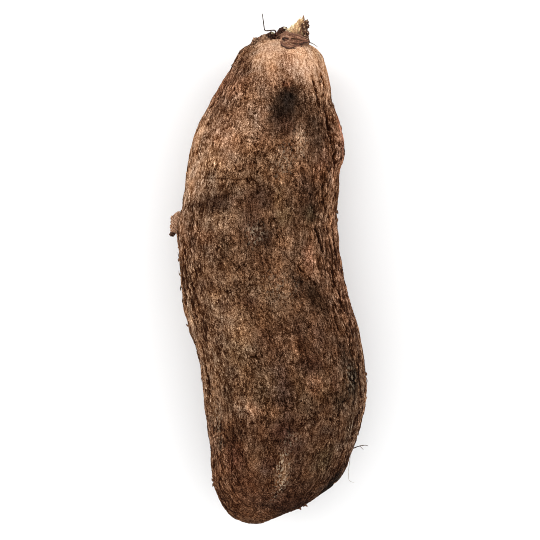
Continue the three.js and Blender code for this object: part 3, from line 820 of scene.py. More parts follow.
def tuber_mesh(skin, height):
    """The tuber's skin as one closed mesh with its relief, each pole drawn in to one point."""
    points = skin.base + skin.normals * height[..., None]
    points[..., 2] = np.maximum(points[..., 2], FLOOR_GAP)
    rows, columns = points.shape[:2]
    piece = mesh_object("tuber_skin", on_mesh(points), closed_faces(rows - 2, columns))
    corners = grid_faces(rows - 2, columns)[1]
    corners[..., 1] = (corners[..., 1] * (rows - 3) + 1) / (rows - 1)
    end_corners = []
    low, high = 1 / (rows - 1), (rows - 2) / (rows - 1)
    for column in range(columns):
        left, right = column / columns, (column + 1) / columns
        end_corners.append([((left + right) / 2, 0), (right, low), (left, low)])
        end_corners.append([((left + right) / 2, 1), (left, high), (right, high)])
    layer = piece.data.uv_layers.new(name="OFBake")
    flat = np.concatenate([corners.reshape(-1, 2), np.array(end_corners).reshape(-1, 2)])
    layer.data.foreach_set("uv", flat.astype(np.float32).ravel())
    return piece


def on_mesh(values):
    """Grid values in the order of the tuber mesh's points."""
    inner = values[1:-1].reshape(-1, *values.shape[2:])
    ends = np.stack([values[0].mean(axis=0), values[-1].mean(axis=0)])
    return np.concatenate([inner, ends])


# ---------------------------------------------------------------- materials


class Nodes:
    """A short way to add and link shader nodes of one material."""

    def __init__(self, name):
        self.material = bpy.data.materials.new(name)
        self.material.use_nodes = True
        self.tree = self.material.node_tree
        self.shader = self.tree.nodes["Principled BSDF"]

    def add(self, kind, **settings):
        """A new node with its settings."""
        node = self.tree.nodes.new(kind)
        for name, value in settings.items():
            setattr(node, name, value)
        return node

    def feed(self, socket, value):
        """Sets an input to a number or to a colour given as a tuple, or links an output to it."""
        if isinstance(value, (int, float)):
            socket.default_value = value
        elif isinstance(value, tuple):
            socket.default_value = (*value, 1)
        else:
            self.tree.links.new(value, socket)

    def attribute(self, name, output="Fac"):
        """What is kept on the mesh under a name."""
        return self.add("ShaderNodeAttribute", attribute_name=name).outputs[output]

    def noise(self, size, stretch=(1, 1, 1), detail=2.0, roughness=0.55, place=None):
        """Noise with features of about size mm, stretched by the factors, at object places unless
        another place is given."""
        mapping = self.add("ShaderNodeMapping")
        place = place or self.add("ShaderNodeTexCoord").outputs["Object"]
        self.feed(mapping.inputs["Vector"], place)
        mapping.inputs["Scale"].default_value = [1 / s for s in stretch]
        texture = self.add("ShaderNodeTexNoise")
        self.feed(texture.inputs["Vector"], mapping.outputs["Vector"])
        self.feed(texture.inputs["Scale"], 1 / (size * MM))
        self.feed(texture.inputs["Detail"], detail)
        self.feed(texture.inputs["Roughness"], roughness)
        return texture.outputs["Fac"]

    def math(self, operation, *values):
        """The result of an operation on numbers and outputs of other nodes."""
        node = self.add("ShaderNodeMath", operation=operation)
        for socket, value in zip(node.inputs, values):
            self.feed(socket, value)
        return node.outputs[0]

    def ramp(self, factor, stops):
        """A colour ramp with stops of place and linear grey or colour."""
        node = self.add("ShaderNodeValToRGB")
        self.feed(node.inputs["Fac"], factor)
        elements = node.color_ramp.elements
        while len(elements) < len(stops):
            elements.new(0.5)
        for element, (place, colour) in zip(elements, stops):
            element.position = place
            rgb = (colour,) * 3 if isinstance(colour, (int, float)) else colour
            element.color = (*rgb, 1)
        return node.outputs["Color"]

    def mix(self, blend, factor, first, second):
        """The first colour with the second blended in."""
        node = self.add("ShaderNodeMix", data_type="RGBA", blend_type=blend)
        colours = [s for s in node.inputs if s.type == "RGBA"]
        for socket, value in zip((node.inputs[0], *colours), (factor, first, second)):
            self.feed(socket, value)
        return [s for s in node.outputs if s.type == "RGBA"][0]

    def finish(self, colour, level, roughness, gloss, rise, strength):
        """The finished material. One unit of the level is seen as a rise in mm, at a strength from
        0 to 1."""
        self.feed(self.shader.inputs["Base Color"], colour)
        self.feed(self.shader.inputs["Roughness"], roughness)
        self.feed(self.shader.inputs["Specular IOR Level"], gloss)
        bump = self.add("ShaderNodeBump")
        self.feed(bump.inputs["Distance"], rise * MM)
        self.feed(bump.inputs["Strength"], strength)
        self.feed(bump.inputs["Height"], level)
        self.feed(self.shader.inputs["Normal"], bump.outputs["Normal"])
        return self.material


GRAIN_SIZE = 0.60  # mm
GRAIN_STRETCH = (1, 1.35, 1)  # grain and fibres lie along the tuber
DUST_SIZE = 0.36
GRAIN_WEIGHTS = ((0.70, 0.45), (0.85, 0.75), (0.65, 1.25))  # of grain, dust and threads: plain, fibrous
FLAKE_PALENESS = 0.25
FISSURE_DARKNESS = 0.46
# darkness of the cracks, grooves and pits, and of the painted shade along the outline
CRACK_AND_OUTLINE_SHADE_DARKNESS = 0.55
LIP_PALENESS = 0.16
FLECK_SIZE = 1.15  # mm
FLECK_EDGES = (0.54, 0.62)  # noise levels where a fleck starts and where it is full
BRIGHTNESS = np.array((0.21, 0.72, 0.07))  # how much each channel adds to a colour's brightness

# How strongly each channel follows the skin's level, as natural logarithms for one unit of it
TONE_BELOW = (6.4, 8.2, 10.3)
TONE_ABOVE = (3.7, 4.2, 4.6)
FLECK_COLOUR = (0.46, 0.34, 0.23)  # linear
TONE_REACH = 0.5  # the level runs from this far below to this far above the middle
TONE_STOPS = 13


def tone_stops():
    """Stops of a ramp: darker and redder below the middle, paler above it."""
    stops = []
    for k in range(TONE_STOPS):
        place = k / (TONE_STOPS - 1)
        level = (2 * place - 1) * TONE_REACH
        slopes = TONE_BELOW if level < 0 else TONE_ABOVE
        stops.append((place, tuple(math.exp(slope * level) for slope in slopes)))
    return stops


def skin_material():
    """Corky skin: painted broad colours, dark pits and fissures, pale flakes, fine grain."""
    nodes = Nodes("corky_skin")
    painted = nodes.attribute("skin_colour", "Color")
    flow = nodes.attribute("flow", "Vector")
    names = ("flakes", "fissures", "fibrous", "contrast", "flecked", "cracks_and_outline_shade", "lips")
    flakes, fissures, fibrous, contrast, flecked, cracks_and_outline_shade, lips = map(nodes.attribute, names)
    grain = nodes.noise(GRAIN_SIZE, GRAIN_STRETCH, 1.0, 0.7)
    dust = nodes.noise(DUST_SIZE, (1, 1, 1), 0.0, 0.6)
    threads = nodes.noise(GRAIN_SIZE, (1, 6.0, 1), 2.0, 0.6, flow)
    level = nodes.math("MULTIPLY", nodes.math("SUBTRACT", flakes, 0.5), FLAKE_PALENESS)
    for part, (plain_weight, fibrous_weight) in zip((grain, dust, threads), GRAIN_WEIGHTS):
        weight = nodes.math("MULTIPLY_ADD", fibrous, fibrous_weight - plain_weight, plain_weight)
        level = nodes.math("MULTIPLY_ADD", nodes.math("SUBTRACT", part, 0.5), weight, level)
    level = nodes.math("MULTIPLY_ADD", fissures, -FISSURE_DARKNESS, level)
    level = nodes.math("MULTIPLY_ADD", level, contrast, 0.5)
    # cracks, grooves and pits, and the painted shade along the outline, darken the level
    level = nodes.math("MULTIPLY_ADD", cracks_and_outline_shade, -CRACK_AND_OUTLINE_SHADE_DARKNESS, level)
    level = nodes.math("MULTIPLY_ADD", lips, LIP_PALENESS, level)
    colour = nodes.mix("MULTIPLY", 1.0, painted, nodes.ramp(level, tone_stops()))
    spots = nodes.noise(FLECK_SIZE, (1, 1.6, 1), 1.0, 0.65)
    spots = nodes.ramp(spots, [(FLECK_EDGES[0], 0.0), (FLECK_EDGES[1], 1.0)])
    colour = nodes.mix("MIX", nodes.math("MULTIPLY", spots, flecked), colour, FLECK_COLOUR)
    return nodes.finish(colour, level, roughness=0.9, gloss=0.03, rise=0.4, strength=0.7)


def wood_material():
    """Dry stem wood: the painted colour broken up by fine dark fibres."""
    nodes = Nodes("dry_wood")
    painted = nodes.attribute("tint", "Color")
    fibre = nodes.noise(0.42, (1, 6, 1), 2.0, 0.6)
    grain = nodes.noise(0.5, (1, 1.3, 1), 1.0, 0.6)
    level = nodes.math("MULTIPLY_ADD", grain, 0.7, nodes.math("MULTIPLY", fibre, 0.9))
    tone = nodes.ramp(level, [(0.45, (0.30, 0.24, 0.18)), (0.78, 1.0), (1.0, 1.6)])
    colour = nodes.mix("MULTIPLY", 1.0, painted, tone)
    return nodes.finish(colour, level, roughness=0.8, gloss=0.15, rise=0.25, strength=0.6)


def root_material():
    """Thin dead roots: dark greyish brown with paler scuffs."""
    nodes = Nodes("dry_root")
    painted = nodes.attribute("tint", "Color")
    scuffs = nodes.noise(0.9, (1, 1, 1), 2.0, 0.6)
    tone = nodes.ramp(scuffs, [(0.35, (0.55, 0.52, 0.5)), (0.7, (1.5, 1.45, 1.4))])
    colour = nodes.mix("MULTIPLY", 1.0, painted, tone)
    return nodes.finish(colour, scuffs, roughness=0.75, gloss=0.2, rise=0.1, strength=0.5)


def crust_material():
    """Skin on the small outgrowths: the painted colour with the tuber's fine dark grain."""
    nodes = Nodes("corky_crust")
    painted = nodes.attribute("tint", "Color")
    parts = [
        (nodes.noise(GRAIN_SIZE, GRAIN_STRETCH, 1.0, 0.7), 0.75),
        (nodes.noise(DUST_SIZE, (1, 1, 1), 0.0, 0.6), 0.80),
    ]
    level = 0.5 - sum(weight for _, weight in parts) / 2
    for part, weight in parts:
        level = nodes.math("MULTIPLY_ADD", part, weight, level)
    colour = nodes.mix("MULTIPLY", 1.0, painted, nodes.ramp(level, tone_stops()))
    return nodes.finish(colour, level, roughness=0.9, gloss=0.03, rise=0.4, strength=0.7)


# ---------------------------------------------------------------- building the yam


def add_piece(piece, material, slot, *replaced):
    """Gives a piece its material and ties it to the frame."""
    piece.data.materials.append(material)
    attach(piece, BODY)
    if replaced:
        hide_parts(*replaced)


def build_tuber():
    """The tuber, with everything on its mesh that its material reads."""
    skin = Skin()
    height, parts = relief_of(skin)
    piece = tuber_mesh(skin, height)
    colour = skin_colour(skin)
    rough = 1 + 0.22 * layered_noise(skin.base / 12, 95, 2)
    parts["contrast"] = rough * (1 - 0.6 * smooth_step(colour @ BRIGHTNESS, 0.10, 0.40))
    parts["fibrous"] = np.where(skin.upward > 0, smooth_step(np.abs(skin.across), 0.50, 0.95), 0.8)
    parts["flecked"] = fleck_mask(skin)
    for name, values in parts.items():
        store(piece, name, "FLOAT", "value", on_mesh(values))
    store(piece, "flow", "FLOAT_VECTOR", "vector", on_mesh(skin.straight) * MM)
    store_colours(piece, "skin_colour", on_mesh(colour))
    add_piece(piece, skin_material(), "corky_skin", "tuber")
    return skin


# ---------------------------------------------------------------- small shapes


def smooth_path(points, steps=5):
    """A Catmull-Rom curve through the points, with steps between each two."""
    points = np.array(points, float)
    padded = np.concatenate([[2 * points[0] - points[1]], points, [2 * points[-1] - points[-2]]])
    path = []
    for k in range(len(points) - 1):
        before, start, end, after = padded[k : k + 4]
        for t in np.arange(steps) / steps:
            path.append(
                0.5 * (2 * start + (end - before) * t
                       + (2 * before - 5 * start + 4 * end - after) * t**2
                       + (3 * start - before - 3 * end + after) * t**3)
            )
    path.append(points[-1])
    return np.array(path)


LUMP_ROWS = 16
LUMP_SIDES = 24
TUBE_GRAIN = 1.3  # mm between the swellings of a rough strand
ASIDE = (0.3, 0.2, 0.93)  # a direction that no strand starts in


class Shapes:
    """Closed shapes with a colour at each point, gathered into one mesh."""

    def __init__(self):
        self.points, self.faces, self.tints = [], [], []

    def add(self, points, faces, tints):
        start = sum(len(p) for p in self.points)
        self.points.append(np.asarray(points, float))
        self.faces += [tuple(i + start for i in face) for face in faces]
        self.tints.append(np.asarray(tints, float))

    def tube(self, path, radii, tint, end_tint=None, sides=8, roughness=0.0, seed=0, flatness=1.0):
        """A round or flattened strand along a path, with its ends closed. Radii are in mm at even
        steps along it, and its colour goes from tint to end_tint."""
        path = np.asarray(path, float)
        radii = np.interp(np.linspace(0, 1, len(path)), np.linspace(0, 1, len(radii)), radii)
        runs = np.gradient(path, axis=0)
        runs /= np.linalg.norm(runs, axis=1, keepdims=True)
        across = np.cross(runs[0], ASIDE)
        turns = np.arange(sides) / sides * 2 * math.pi
        rows = []
        for place, run, radius in zip(path, runs, radii):
            across = across - run * (across @ run)
            across = across / np.linalg.norm(across)
            other = np.cross(run, across)
            ring = np.cos(turns)[:, None] * across + flatness * np.sin(turns)[:, None] * other
            rows.append(place + radius * ring)
        rows = np.array(rows)
        if roughness:
            centre = path[:, None]
            swell = 1 + roughness * gradient_noise(rows / TUBE_GRAIN + 7, seed)[..., None]
            rows = centre + (rows - centre) * swell
        ends = [path[0] - runs[0] * radii[0] * 0.5, path[-1] + runs[-1] * radii[-1] * 0.5]
        share = np.concatenate([np.repeat(np.linspace(0, 1, len(path)), sides), [0, 1]])[:, None]
        tints = linear(tint) * (1 - share) + linear(tint if end_tint is None else end_tint) * share
        points = np.concatenate([rows.reshape(-1, 3), ends])
        self.add(points, closed_faces(len(path), sides), tints)

    def lump(self, centre, reach, tint, seed, roughness=0.25, grain=2.0, turn=0.0, low_tint=None):
        """A lumpy rounded body. Reach is half its size along x, y and z, grain is how fine its lumps
        are, turn is about z, and low_tint is the colour of its hollows."""
        rows, sides = LUMP_ROWS, LUMP_SIDES
        lat = (np.arange(1, rows) / rows - 0.5) * math.pi
        lon = np.arange(sides) / sides * 2 * math.pi
        ball = np.stack(
            [
                np.cos(lat)[:, None] * np.cos(lon),
                np.cos(lat)[:, None] * np.sin(lon),
                np.repeat(np.sin(lat)[:, None], sides, axis=1),
            ],
            axis=2,
        )
        ball = np.concatenate([ball.reshape(-1, 3), [(0, 0, -1), (0, 0, 1)]])
        offset = np.array([seed * 3.1, seed * 1.7, 5.0])
        swell = 1 + roughness * layered_noise(ball * grain + offset, 90, 2)
        shape = ball * swell[:, None] * np.array(reach)
        cos, sin = math.cos(turn), math.sin(turn)
        turned = shape @ np.array([[cos, sin, 0], [-sin, cos, 0], [0, 0, 1]])
        dark = linear(tint if low_tint is None else low_tint)
        level = smooth_step(swell, 1 - 0.6 * roughness, 1 + 0.5 * roughness)[:, None]
        tints = dark * (1 - level) + linear(tint) * level
        self.add(turned + np.array(centre), closed_faces(rows - 1, sides), tints)

    def piece(self, name):
        """The gathered shapes as one object, with their colours."""
        made = mesh_object(name, np.concatenate(self.points), self.faces)
        store_colours(made, "tint", np.concatenate(self.tints) * PAINT_GAIN)
        return made


# ---------------------------------------------------------------- the vine stub

STUB_SIDES = 120
STUB_ROWS = 64
STUB_ENDS_ACROSS = (-1.0, -0.6, 0.0, 0.35, 0.6, 1.0)  # from the left to the right of the stub
STUB_ENDS = (0.40, 0.50, 0.68, 0.82, 0.80, 0.60)  # height of its broken end there, as a share
STUB_HOLLOW = ((0.9, 0.2), (0.75, 1.4), (0.5, 2.2), (0.25, 2.5))  # share of the rim, depth in mm
STUB_FIBRES = 190
STUB_FIBRES_BEHIND = 80
STUB_SINK = 1.5  # mm by which the stub goes on below its CAD foot, into the crown
STUB_NARROWING = 0.16  # share of its width that it has lost at the top
STUB_LEAN = 0.6  # mm by which its top is further right
COLLAR_HEIGHT = 0.12  # share of the height where its foot swells most, by 1 mm
COLLAR_REACH = 0.13


def stub_frame():
    """Middle, half width and half depth of the CAD stub, and y of its foot and its top."""
    low, high = node_box("vine_stub")
    middle = (low + high) / 2
    return middle, (high - low)[0] / 2, (high - low)[2] / 2, low[1], high[1]


def stub_surface(turn, level):
    """A point on the stub. Turn goes round it from the right over the top, and level is 0 at the
    foot and 1 at the broken end, which slants up from left to right."""
    middle, half_width, half_depth, foot, top = stub_frame()
    across = np.cos(turn)
    end = foot + (top - foot) * np.interp(across, STUB_ENDS_ACROSS, STUB_ENDS)
    spots = np.stack([4 * np.cos(turn), 4 * np.sin(turn), level * 0 + 3], axis=-1)
    end = end + 0.7 * gradient_noise(spots * 1.3, 101) + 0.35 * gradient_noise(spots * 3.7, 102)
    y = foot - STUB_SINK + (end - foot + STUB_SINK) * level
    height = np.clip((y - foot) / (top - foot), 0, 1)
    narrowing = 1.0 - STUB_NARROWING * height
    ribs = np.stack([5.5 * np.cos(turn), y / 9, 5.5 * np.sin(turn)], axis=-1)
    relief = 0.45 * gradient_noise(ribs * 1.5, 103) + 0.3 * gradient_noise(ribs * 3.6, 104)
    collar = np.exp(-(((height - COLLAR_HEIGHT) / COLLAR_REACH) ** 2))
    width = (half_width - 0.5) * narrowing + relief + collar
    depth = (half_depth - 1.2) * narrowing + relief + collar
    x = middle[0] + 0.2 + width * np.cos(turn) + STUB_LEAN * height
    z = middle[2] + depth * np.sin(turn)
    return np.stack([x, y, z], axis=-1)


def stub_tints(points):
    """Brown and knotty at the foot, straw yellow above, darker down the right side."""
    middle, half_width, _, foot, top = stub_frame()
    height = (points[..., 1] - foot) / (top - foot)
    right = smooth_step((points[..., 0] - middle[0]) / half_width, 0.35, 0.95)
    streak = gradient_noise(stretched(points, 1.2, 5.0), 111)
    yellow = smooth_step(height + 0.20 * streak, 0.22, 0.52)[..., None]
    tint = linear((112, 82, 60)) * (1 - yellow) + linear((206, 178, 132)) * yellow
    tint = tint * (1 - right[..., None]) + linear((104, 76, 56)) * right[..., None]
    return tint * np.exp(0.25 * streak)[..., None]


def build_stub_body():
    """The broken foot of the vine, with ribs down its sides and a hollow, torn end."""
    turns = np.arange(STUB_SIDES) / STUB_SIDES * 2 * math.pi
    outside = stub_surface(*np.meshgrid(turns, np.linspace(0, 1, STUB_ROWS)))
    rim = outside[-1]
    centre = rim.mean(axis=0)
    inner = []
    for share, drop in STUB_HOLLOW:
        ring = centre + (rim - centre) * share
        ring[:, 1] = ring[:, 1] - drop + 0.6 * gradient_noise(ring / 1.4, 105)
        inner.append(ring)
    grid = np.concatenate([outside, np.array(inner)])
    ends = [outside[0].mean(axis=0), centre - (0, 2.6, 0)]
    points = np.concatenate([grid.reshape(-1, 3), ends])
    shapes = Shapes()
    shapes.add(points, closed_faces(len(grid), STUB_SIDES), stub_tints(points))
    add_piece(shapes.piece("vine_stub_wood"), wood_material(), "dry_wood", "vine_stub")


STRAW_TINTS = ((238, 226, 196), (228, 208, 164), (206, 170, 122), (162, 118, 86), (124, 84, 64))


def straw_tint(shade):
    """One of the straw colours, from the palest at 0 to the darkest."""
    return np.array(STRAW_TINTS[int(min(max(shade, 0), len(STRAW_TINTS) - 1))])


def build_stub_fibres():
    """Torn strands of straw-coloured wood, leaning up to the right across the stub and standing out
    of its broken end. The palest are at the upper left."""
    rng = np.random.default_rng(5)
    shapes = Shapes()
    for k in range(STUB_FIBRES + STUB_FIBRES_BEHIND):
        behind = k >= STUB_FIBRES
        end_turn = rng.uniform(0.35, math.pi - 0.05)
        if behind:
            end_turn = -end_turn
        drift = rng.uniform(0.15, 0.75)
        start = rng.uniform(0.35, 0.80)
        reach = rng.uniform(0.3, 1.9)
        width = rng.uniform(0.11, 0.26)
        path = []
        for share in np.linspace(0, 1, 6):
            turn = min(end_turn + drift * (1 - share), math.pi + 0.3)
            level = start + (1 - start) * share
            place = stub_surface(np.array(turn), np.array(level))
            lift = 0.10 + 0.35 * share
            path.append(place + np.array([0, 0, -lift if behind else lift]))
        run = path[-1] - path[-2]
        run = run / np.linalg.norm(run) + np.array([0.25, 0.15, rng.uniform(-0.1, 0.5)])
        path.append(path[-1] + run * reach * 0.5)
        path.append(path[-1] + (run + rng.normal(0, 0.3, 3)) * reach * 0.5)
        left = (1 - math.cos(end_turn)) / 2
        shade = 2.7 * (1 - left) + 1.8 * (0.8 - start) + rng.uniform(-0.7, 1.1)
        radii = [width * 0.5, width, width, width * 0.7, width * 0.15]
        low_tint = straw_tint(shade + 1.4) * 0.9
        shapes.tube(smooth_path(path, 3), radii, low_tint, straw_tint(shade), 6, 0.25, 3, 0.6)
    add_piece(shapes.piece("vine_stub_fibres"), wood_material(), "dry_wood")


# The stub's scales: drop below its top and way in from its right, in mm, size and seed
SCALES = (
    (5.0, 1.2, 1.25, 3),
    (7.4, 0.9, 1.45, 4),
    (8.6, 2.8, 1.10, 5),
    (10.4, 2.2, 1.35, 6),
    (11.6, 0.9, 1.45, 7),
    (13.6, 2.4, 1.25, 8),
    (15.0, 1.0, 1.30, 9),
    (6.6, 3.2, 0.95, 10),
)


def build_stub_scales():
    """Dark bud scales down the stub's right side, and a brown spike at its top."""
    middle, half_width, half_depth, _, top = stub_frame()
    shapes = Shapes()
    right = middle[0] + half_width
    for drop, inward, size, seed in SCALES:
        rise = half_depth * math.sqrt(max(0.15, 1 - ((half_width - inward) / half_width) ** 2))
        place = np.array((right - inward, top - drop, middle[2] + rise - 0.2))
        shapes.lump(place, (size, size * 1.1, size), (88, 58, 42), seed, 0.35, 1.8, -0.5, (34, 22, 17))
        shapes.lump(place + (0.2, 0.5, size * 0.8), (0.42, 0.36, 0.4), (188, 160, 128), seed + 20, 0.3)
        hook = [place + (0.1, 0.4, 0.2), place + (0.6, 1.1, 0.5), place + (0.7, 1.9, 0.4)]
        shapes.tube(smooth_path(hook, 3), [0.55, 0.4, 0.10], (66, 44, 33), (116, 86, 64), 7, 0.2, seed)
    spike = [
        (right - 3.6, top - 5.0, middle[2] + 4.6),
        (right - 3.0, top - 3.2, middle[2] + 5.4),
        (right - 2.9, top - 0.9, middle[2] + 5.2),
    ]
    shapes.tube(smooth_path(spike, 4), [1.1, 0.95, 0.14], (76, 50, 36), (124, 92, 68), 8, 0.3, 9)
    add_piece(shapes.piece("vine_stub_scales"), wood_material(), "dry_wood")


# The foot's ridges from the knot outwards, and those on the crown below it
WHORL_TINTS = ((104, 70, 54), (136, 98, 76), (96, 64, 49), (124, 88, 68), (92, 62, 48), (116, 84, 66))
LOW_RIDGE_TINTS = (*WHORL_TINTS[:4], (58, 38, 29))
BACK_RIDGES = 7


def foot_marks():
    """x of the foot's middle and right end, y of its lower edge, and the knot at its left."""
    middle, half_width, _, foot, _ = stub_frame()
    return middle[0], middle[0] + half_width - 0.4, foot, np.array((middle[0] - 5.4, foot + 2.6))


def on_foot(x, y, proud):
    """A place on the foot's upper side, standing proud by some mm."""
    middle, half_width, half_depth, _, _ = stub_frame()
    across = (x - middle[0]) / (half_width + 1.9)
    depth = (half_depth + 0.2) * math.sqrt(max(0.05, 1 - across * across))
    return (x, y, middle[2] + depth + proud)


def wobbly(route, strength, seeds):
    """A route shifted by noise of a strength in mm."""
    return route + strength * np.stack([gradient_noise(route / 2.6, seed) for seed in seeds], axis=1)


def add_whorls(shapes):
    """Ridges that run along the foot and whorl round its knot."""
    middle, end, foot, knot = foot_marks()
    for k, tint in enumerate(WHORL_TINTS):
        reach = 0.9 + 0.62 * k
        corners = [
            (end - 0.1 * k, foot + 1.4 + 0.35 * reach),
            (middle + 3.0, foot + 2.2 + 0.55 * reach),
            (knot[0] + 2.6, knot[1] + 0.85 * reach),
            (knot[0], knot[1] + reach),
            (knot[0] - 0.85 * reach, knot[1] + 0.6 * reach),
            (knot[0] - 1.05 * reach, knot[1] - 0.1 * reach),
            (knot[0] - 0.7 * reach, knot[1] - 0.7 * reach),
            (knot[0] + 0.4, knot[1] - 0.8 * reach),
            (knot[0] + 4.0, foot + 1.9 - 0.50 * reach),
            (middle + 3.0, foot + 1.7 - 0.42 * reach),
            (end, foot + 2.2 - 0.40 * reach),
        ]
        route = smooth_path([on_foot(x, y, 0.35 - 0.12 * k) for x, y in corners], 5)
        route = wobbly(route, 0.65, (120 + k, 130 + k, 140 + k))
        shapes.tube(route, [0.2, 0.6, 0.8, 0.5, 0.8, 0.6, 0.2], tint, None, 8, 0.9, 50 + k)


def add_low_ridges(shapes, skin):
    """Ridges on the crown's skin under the foot, the last of them thin and dark."""
    middle, end, foot, knot = foot_marks()
    for k, tint in enumerate(LOW_RIDGE_TINTS):
        drop = 0.1 + 0.52 * k
        spread = 0.15 * k
        corners = [
            (knot[0] - 3.6 - spread, foot + 1.2),
            (knot[0] - 2.0 - spread, foot - 0.2 - 0.5 * drop),
            (knot[0] + 1.0, foot - 0.9 - drop),
            (knot[0] + 4.5, foot - 1.0 - drop),
            (middle + 2.6, foot - 0.3 - 0.9 * drop),
            (end - 0.4, foot + 0.5 - 0.6 * drop),
        ]
        route = smooth_path([(x, y, skin.surface_level(x, y) + 0.1) for x, y in corners], 5)
        route[:, :2] += 0.55 * gradient_noise(route / 2.4, 180 + k)[:, None]
        thick = 0.7 if k == len(LOW_RIDGE_TINTS) - 1 else 1.0
        radii = [thick * radius for radius in (0.3, 0.65, 0.8, 0.7, 0.6, 0.3)]
        shapes.tube(route, radii, tint, None, 8, 0.9, 90 + k)


def add_eye(shapes, skin):
    """A pale loop round the knot, with a dark body in it."""
    _, _, foot, knot = foot_marks()
    eye = np.array((knot[0] - 0.3, foot + 2.7))
    loop = []
    for turn in np.linspace(0, 2 * math.pi, 14):
        x, y = eye + np.array((2.5 * math.cos(turn), 1.7 * math.sin(turn)))
        loop.append((x, y, max(skin.surface_level(x, y), on_foot(x, y, 0)[2]) + 0.5))
    shapes.tube(smooth_path(loop, 3), [0.5, 0.65, 0.5], (166, 130, 108), (136, 100, 80), 8, 0.7, 98)
    shapes.lump(on_foot(*eye, 0.9), (2.0, 1.15, 0.8), (54, 36, 28), 99, 0.3, 1.8, 0, (34, 22, 17))


def add_back_ridges(shapes):
    """Ridges round the back of the foot."""
    for k in range(BACK_RIDGES):
        back = []
        for turn in np.linspace(-0.15, math.pi + 0.15, 12):
            level = 0.10 + 0.075 * k + 0.03 * math.sin(3 * turn + k)
            back.append(stub_surface(np.array(-turn), np.array(level)))
        route = wobbly(smooth_path(back, 4), 0.6, (150 + k, 160 + k, 170 + k))
        tint = WHORL_TINTS[k % len(WHORL_TINTS)]
        shapes.tube(route, [0.3, 0.6, 0.8, 0.6, 0.7, 0.3], tint, None, 8, 0.9, 70 + k)


def build_stub_foot(skin):
    """The wrinkled woody foot of the stub: ridges that run along it and whorl round a dark knot at
    its left, a dark rim against the crown, and one short hair."""
    middle, end, foot, knot = foot_marks()
    shapes = Shapes()
    add_whorls(shapes)
    shapes.lump(on_foot(*knot, 0.1), (1.1, 1.0, 0.6), (48, 30, 23), 15, 0.3)
    shoulder = on_foot(knot[0] - 3.6, knot[1] + 1.4, -0.9)
    shapes.lump(shoulder, (1.3, 2.6, 1.5), (178, 142, 118), 16, 0.3, 1.8, -0.5, (112, 80, 62))
    add_low_ridges(shapes, skin)
    add_eye(shapes, skin)
    rim = [
        on_foot(knot[0] - 3.8, foot - 0.3, -1.6),
        on_foot(knot[0] - 1.4, foot - 1.0, -0.2),
        on_foot(knot[0] + 2.4, foot - 1.3, 0.3),
        on_foot(middle + 2.0, foot - 0.6, 0.4),
        on_foot(end - 1.5, foot + 0.6, 0.2),
        on_foot(end + 0.9, foot + 1.6, -0.8),
    ]
    shapes.tube(smooth_path(rim, 6), [0.3, 0.5, 0.55, 0.5, 0.4, 0.3], (52, 34, 26), None, 8, 0.6, 14)
    add_back_ridges(shapes)
    level = stub_frame()[0][2]
    hair = [
        (end + 0.2, foot + 1.2, level + 2.0),
        (end + 2.4, foot + 0.7, level + 2.6),
        (end + 4.6, foot - 0.6, level + 2.8),
        (end + 5.9, foot - 1.6, level + 2.8),
    ]
    radii = [0.34, 0.26, 0.2, 0.08]
    shapes.tube(smooth_path(hair, 4), radii, (84, 70, 60), (120, 110, 100), 6, 0.2, 15)
    add_piece(shapes.piece("vine_stub_foot"), wood_material(), "dry_wood")


# ---------------------------------------------------------------- buds and side shoot

BUD_LEVEL = 45.0  # mm above the floor
SHOOT_LEVEL = 40.0
SHOOT_SHARE = 0.608  # of the length from the root tip, on the left flank

# Lumps: steps in mm from the tuber's upper end, half sizes, sRGB, seed and roughness, and for most of
# them the noise's fineness, the turn about z and the colour of the low parts
BUD_LUMPS = (
    ((7.4, -1.2, 1), (3.0, 2.2, 3.0), (74, 50, 40), 21, 0.4, 2.2, 0.2, (34, 22, 18)),
    ((8.7, 0.2, 3), (0.85, 0.75, 0.8), (196, 182, 158), 22, 0.2),
    ((0.8, -4.6, 1), (3.3, 2.5, 3.2), (66, 44, 34), 23, 0.4, 2.2, 0.5, (30, 20, 16)),
    ((1.6, -2.8, 3.4), (1.0, 0.8, 0.8), (138, 130, 106), 24, 0.25),
    ((3.9, -3.2, 3), (0.8, 0.9, 0.8), (92, 62, 52), 25, 0.3),
    ((-5.2, -6.2, 0), (2.0, 2.6, 2.8), (130, 96, 74), 26, 0.3, 2.0, -0.6, (62, 42, 32)),
    ((-8.4, -7.4, -1), (2.2, 2.8, 2.8), (142, 110, 86), 27, 0.3, 2.0, -0.7, (70, 48, 36)),
    ((-10.6, -9.6, -1), (1.5, 2.6, 2.4), (112, 82, 62), 30, 0.3, 2.0, -0.6, (54, 36, 27)),
    ((4.8, -6.2, 3), (2.2, 1.6, 2.0), (88, 60, 45), 28, 0.4, 2.0, 0.0, (40, 26, 20)),
    ((-1.8, -6.8, 3), (2.0, 1.3, 1.8), (124, 92, 70), 29, 0.35, 2.0, 0.2, (60, 40, 30)),
)
SHOOT_LUMPS = (
    ((-2.2, -4.6, 0), (2.0, 1.5, 2.4), (84, 58, 45), 32, 0.3, 1.8, 0.6, (34, 23, 18)),
    ((-1.9, 3.6, 1), (1.5, 2.6, 2.2), (160, 126, 102), 33, 0.3, 1.8, 0.2, (110, 80, 62)),
    ((0.6, -2.0, 1.5), (1.8, 3.0, 2.0), (124, 92, 72), 34, 0.3, 1.8, 0.2, (78, 54, 42)),
)


def add_lumps(shapes, x, y, z, lumps):
    """Lumps from a list of steps from a place, each with the rest of what Shapes.lump takes."""
    for (right, along, up), *rest in lumps:
        shapes.lump((x + right, y + along, z + up), *rest)


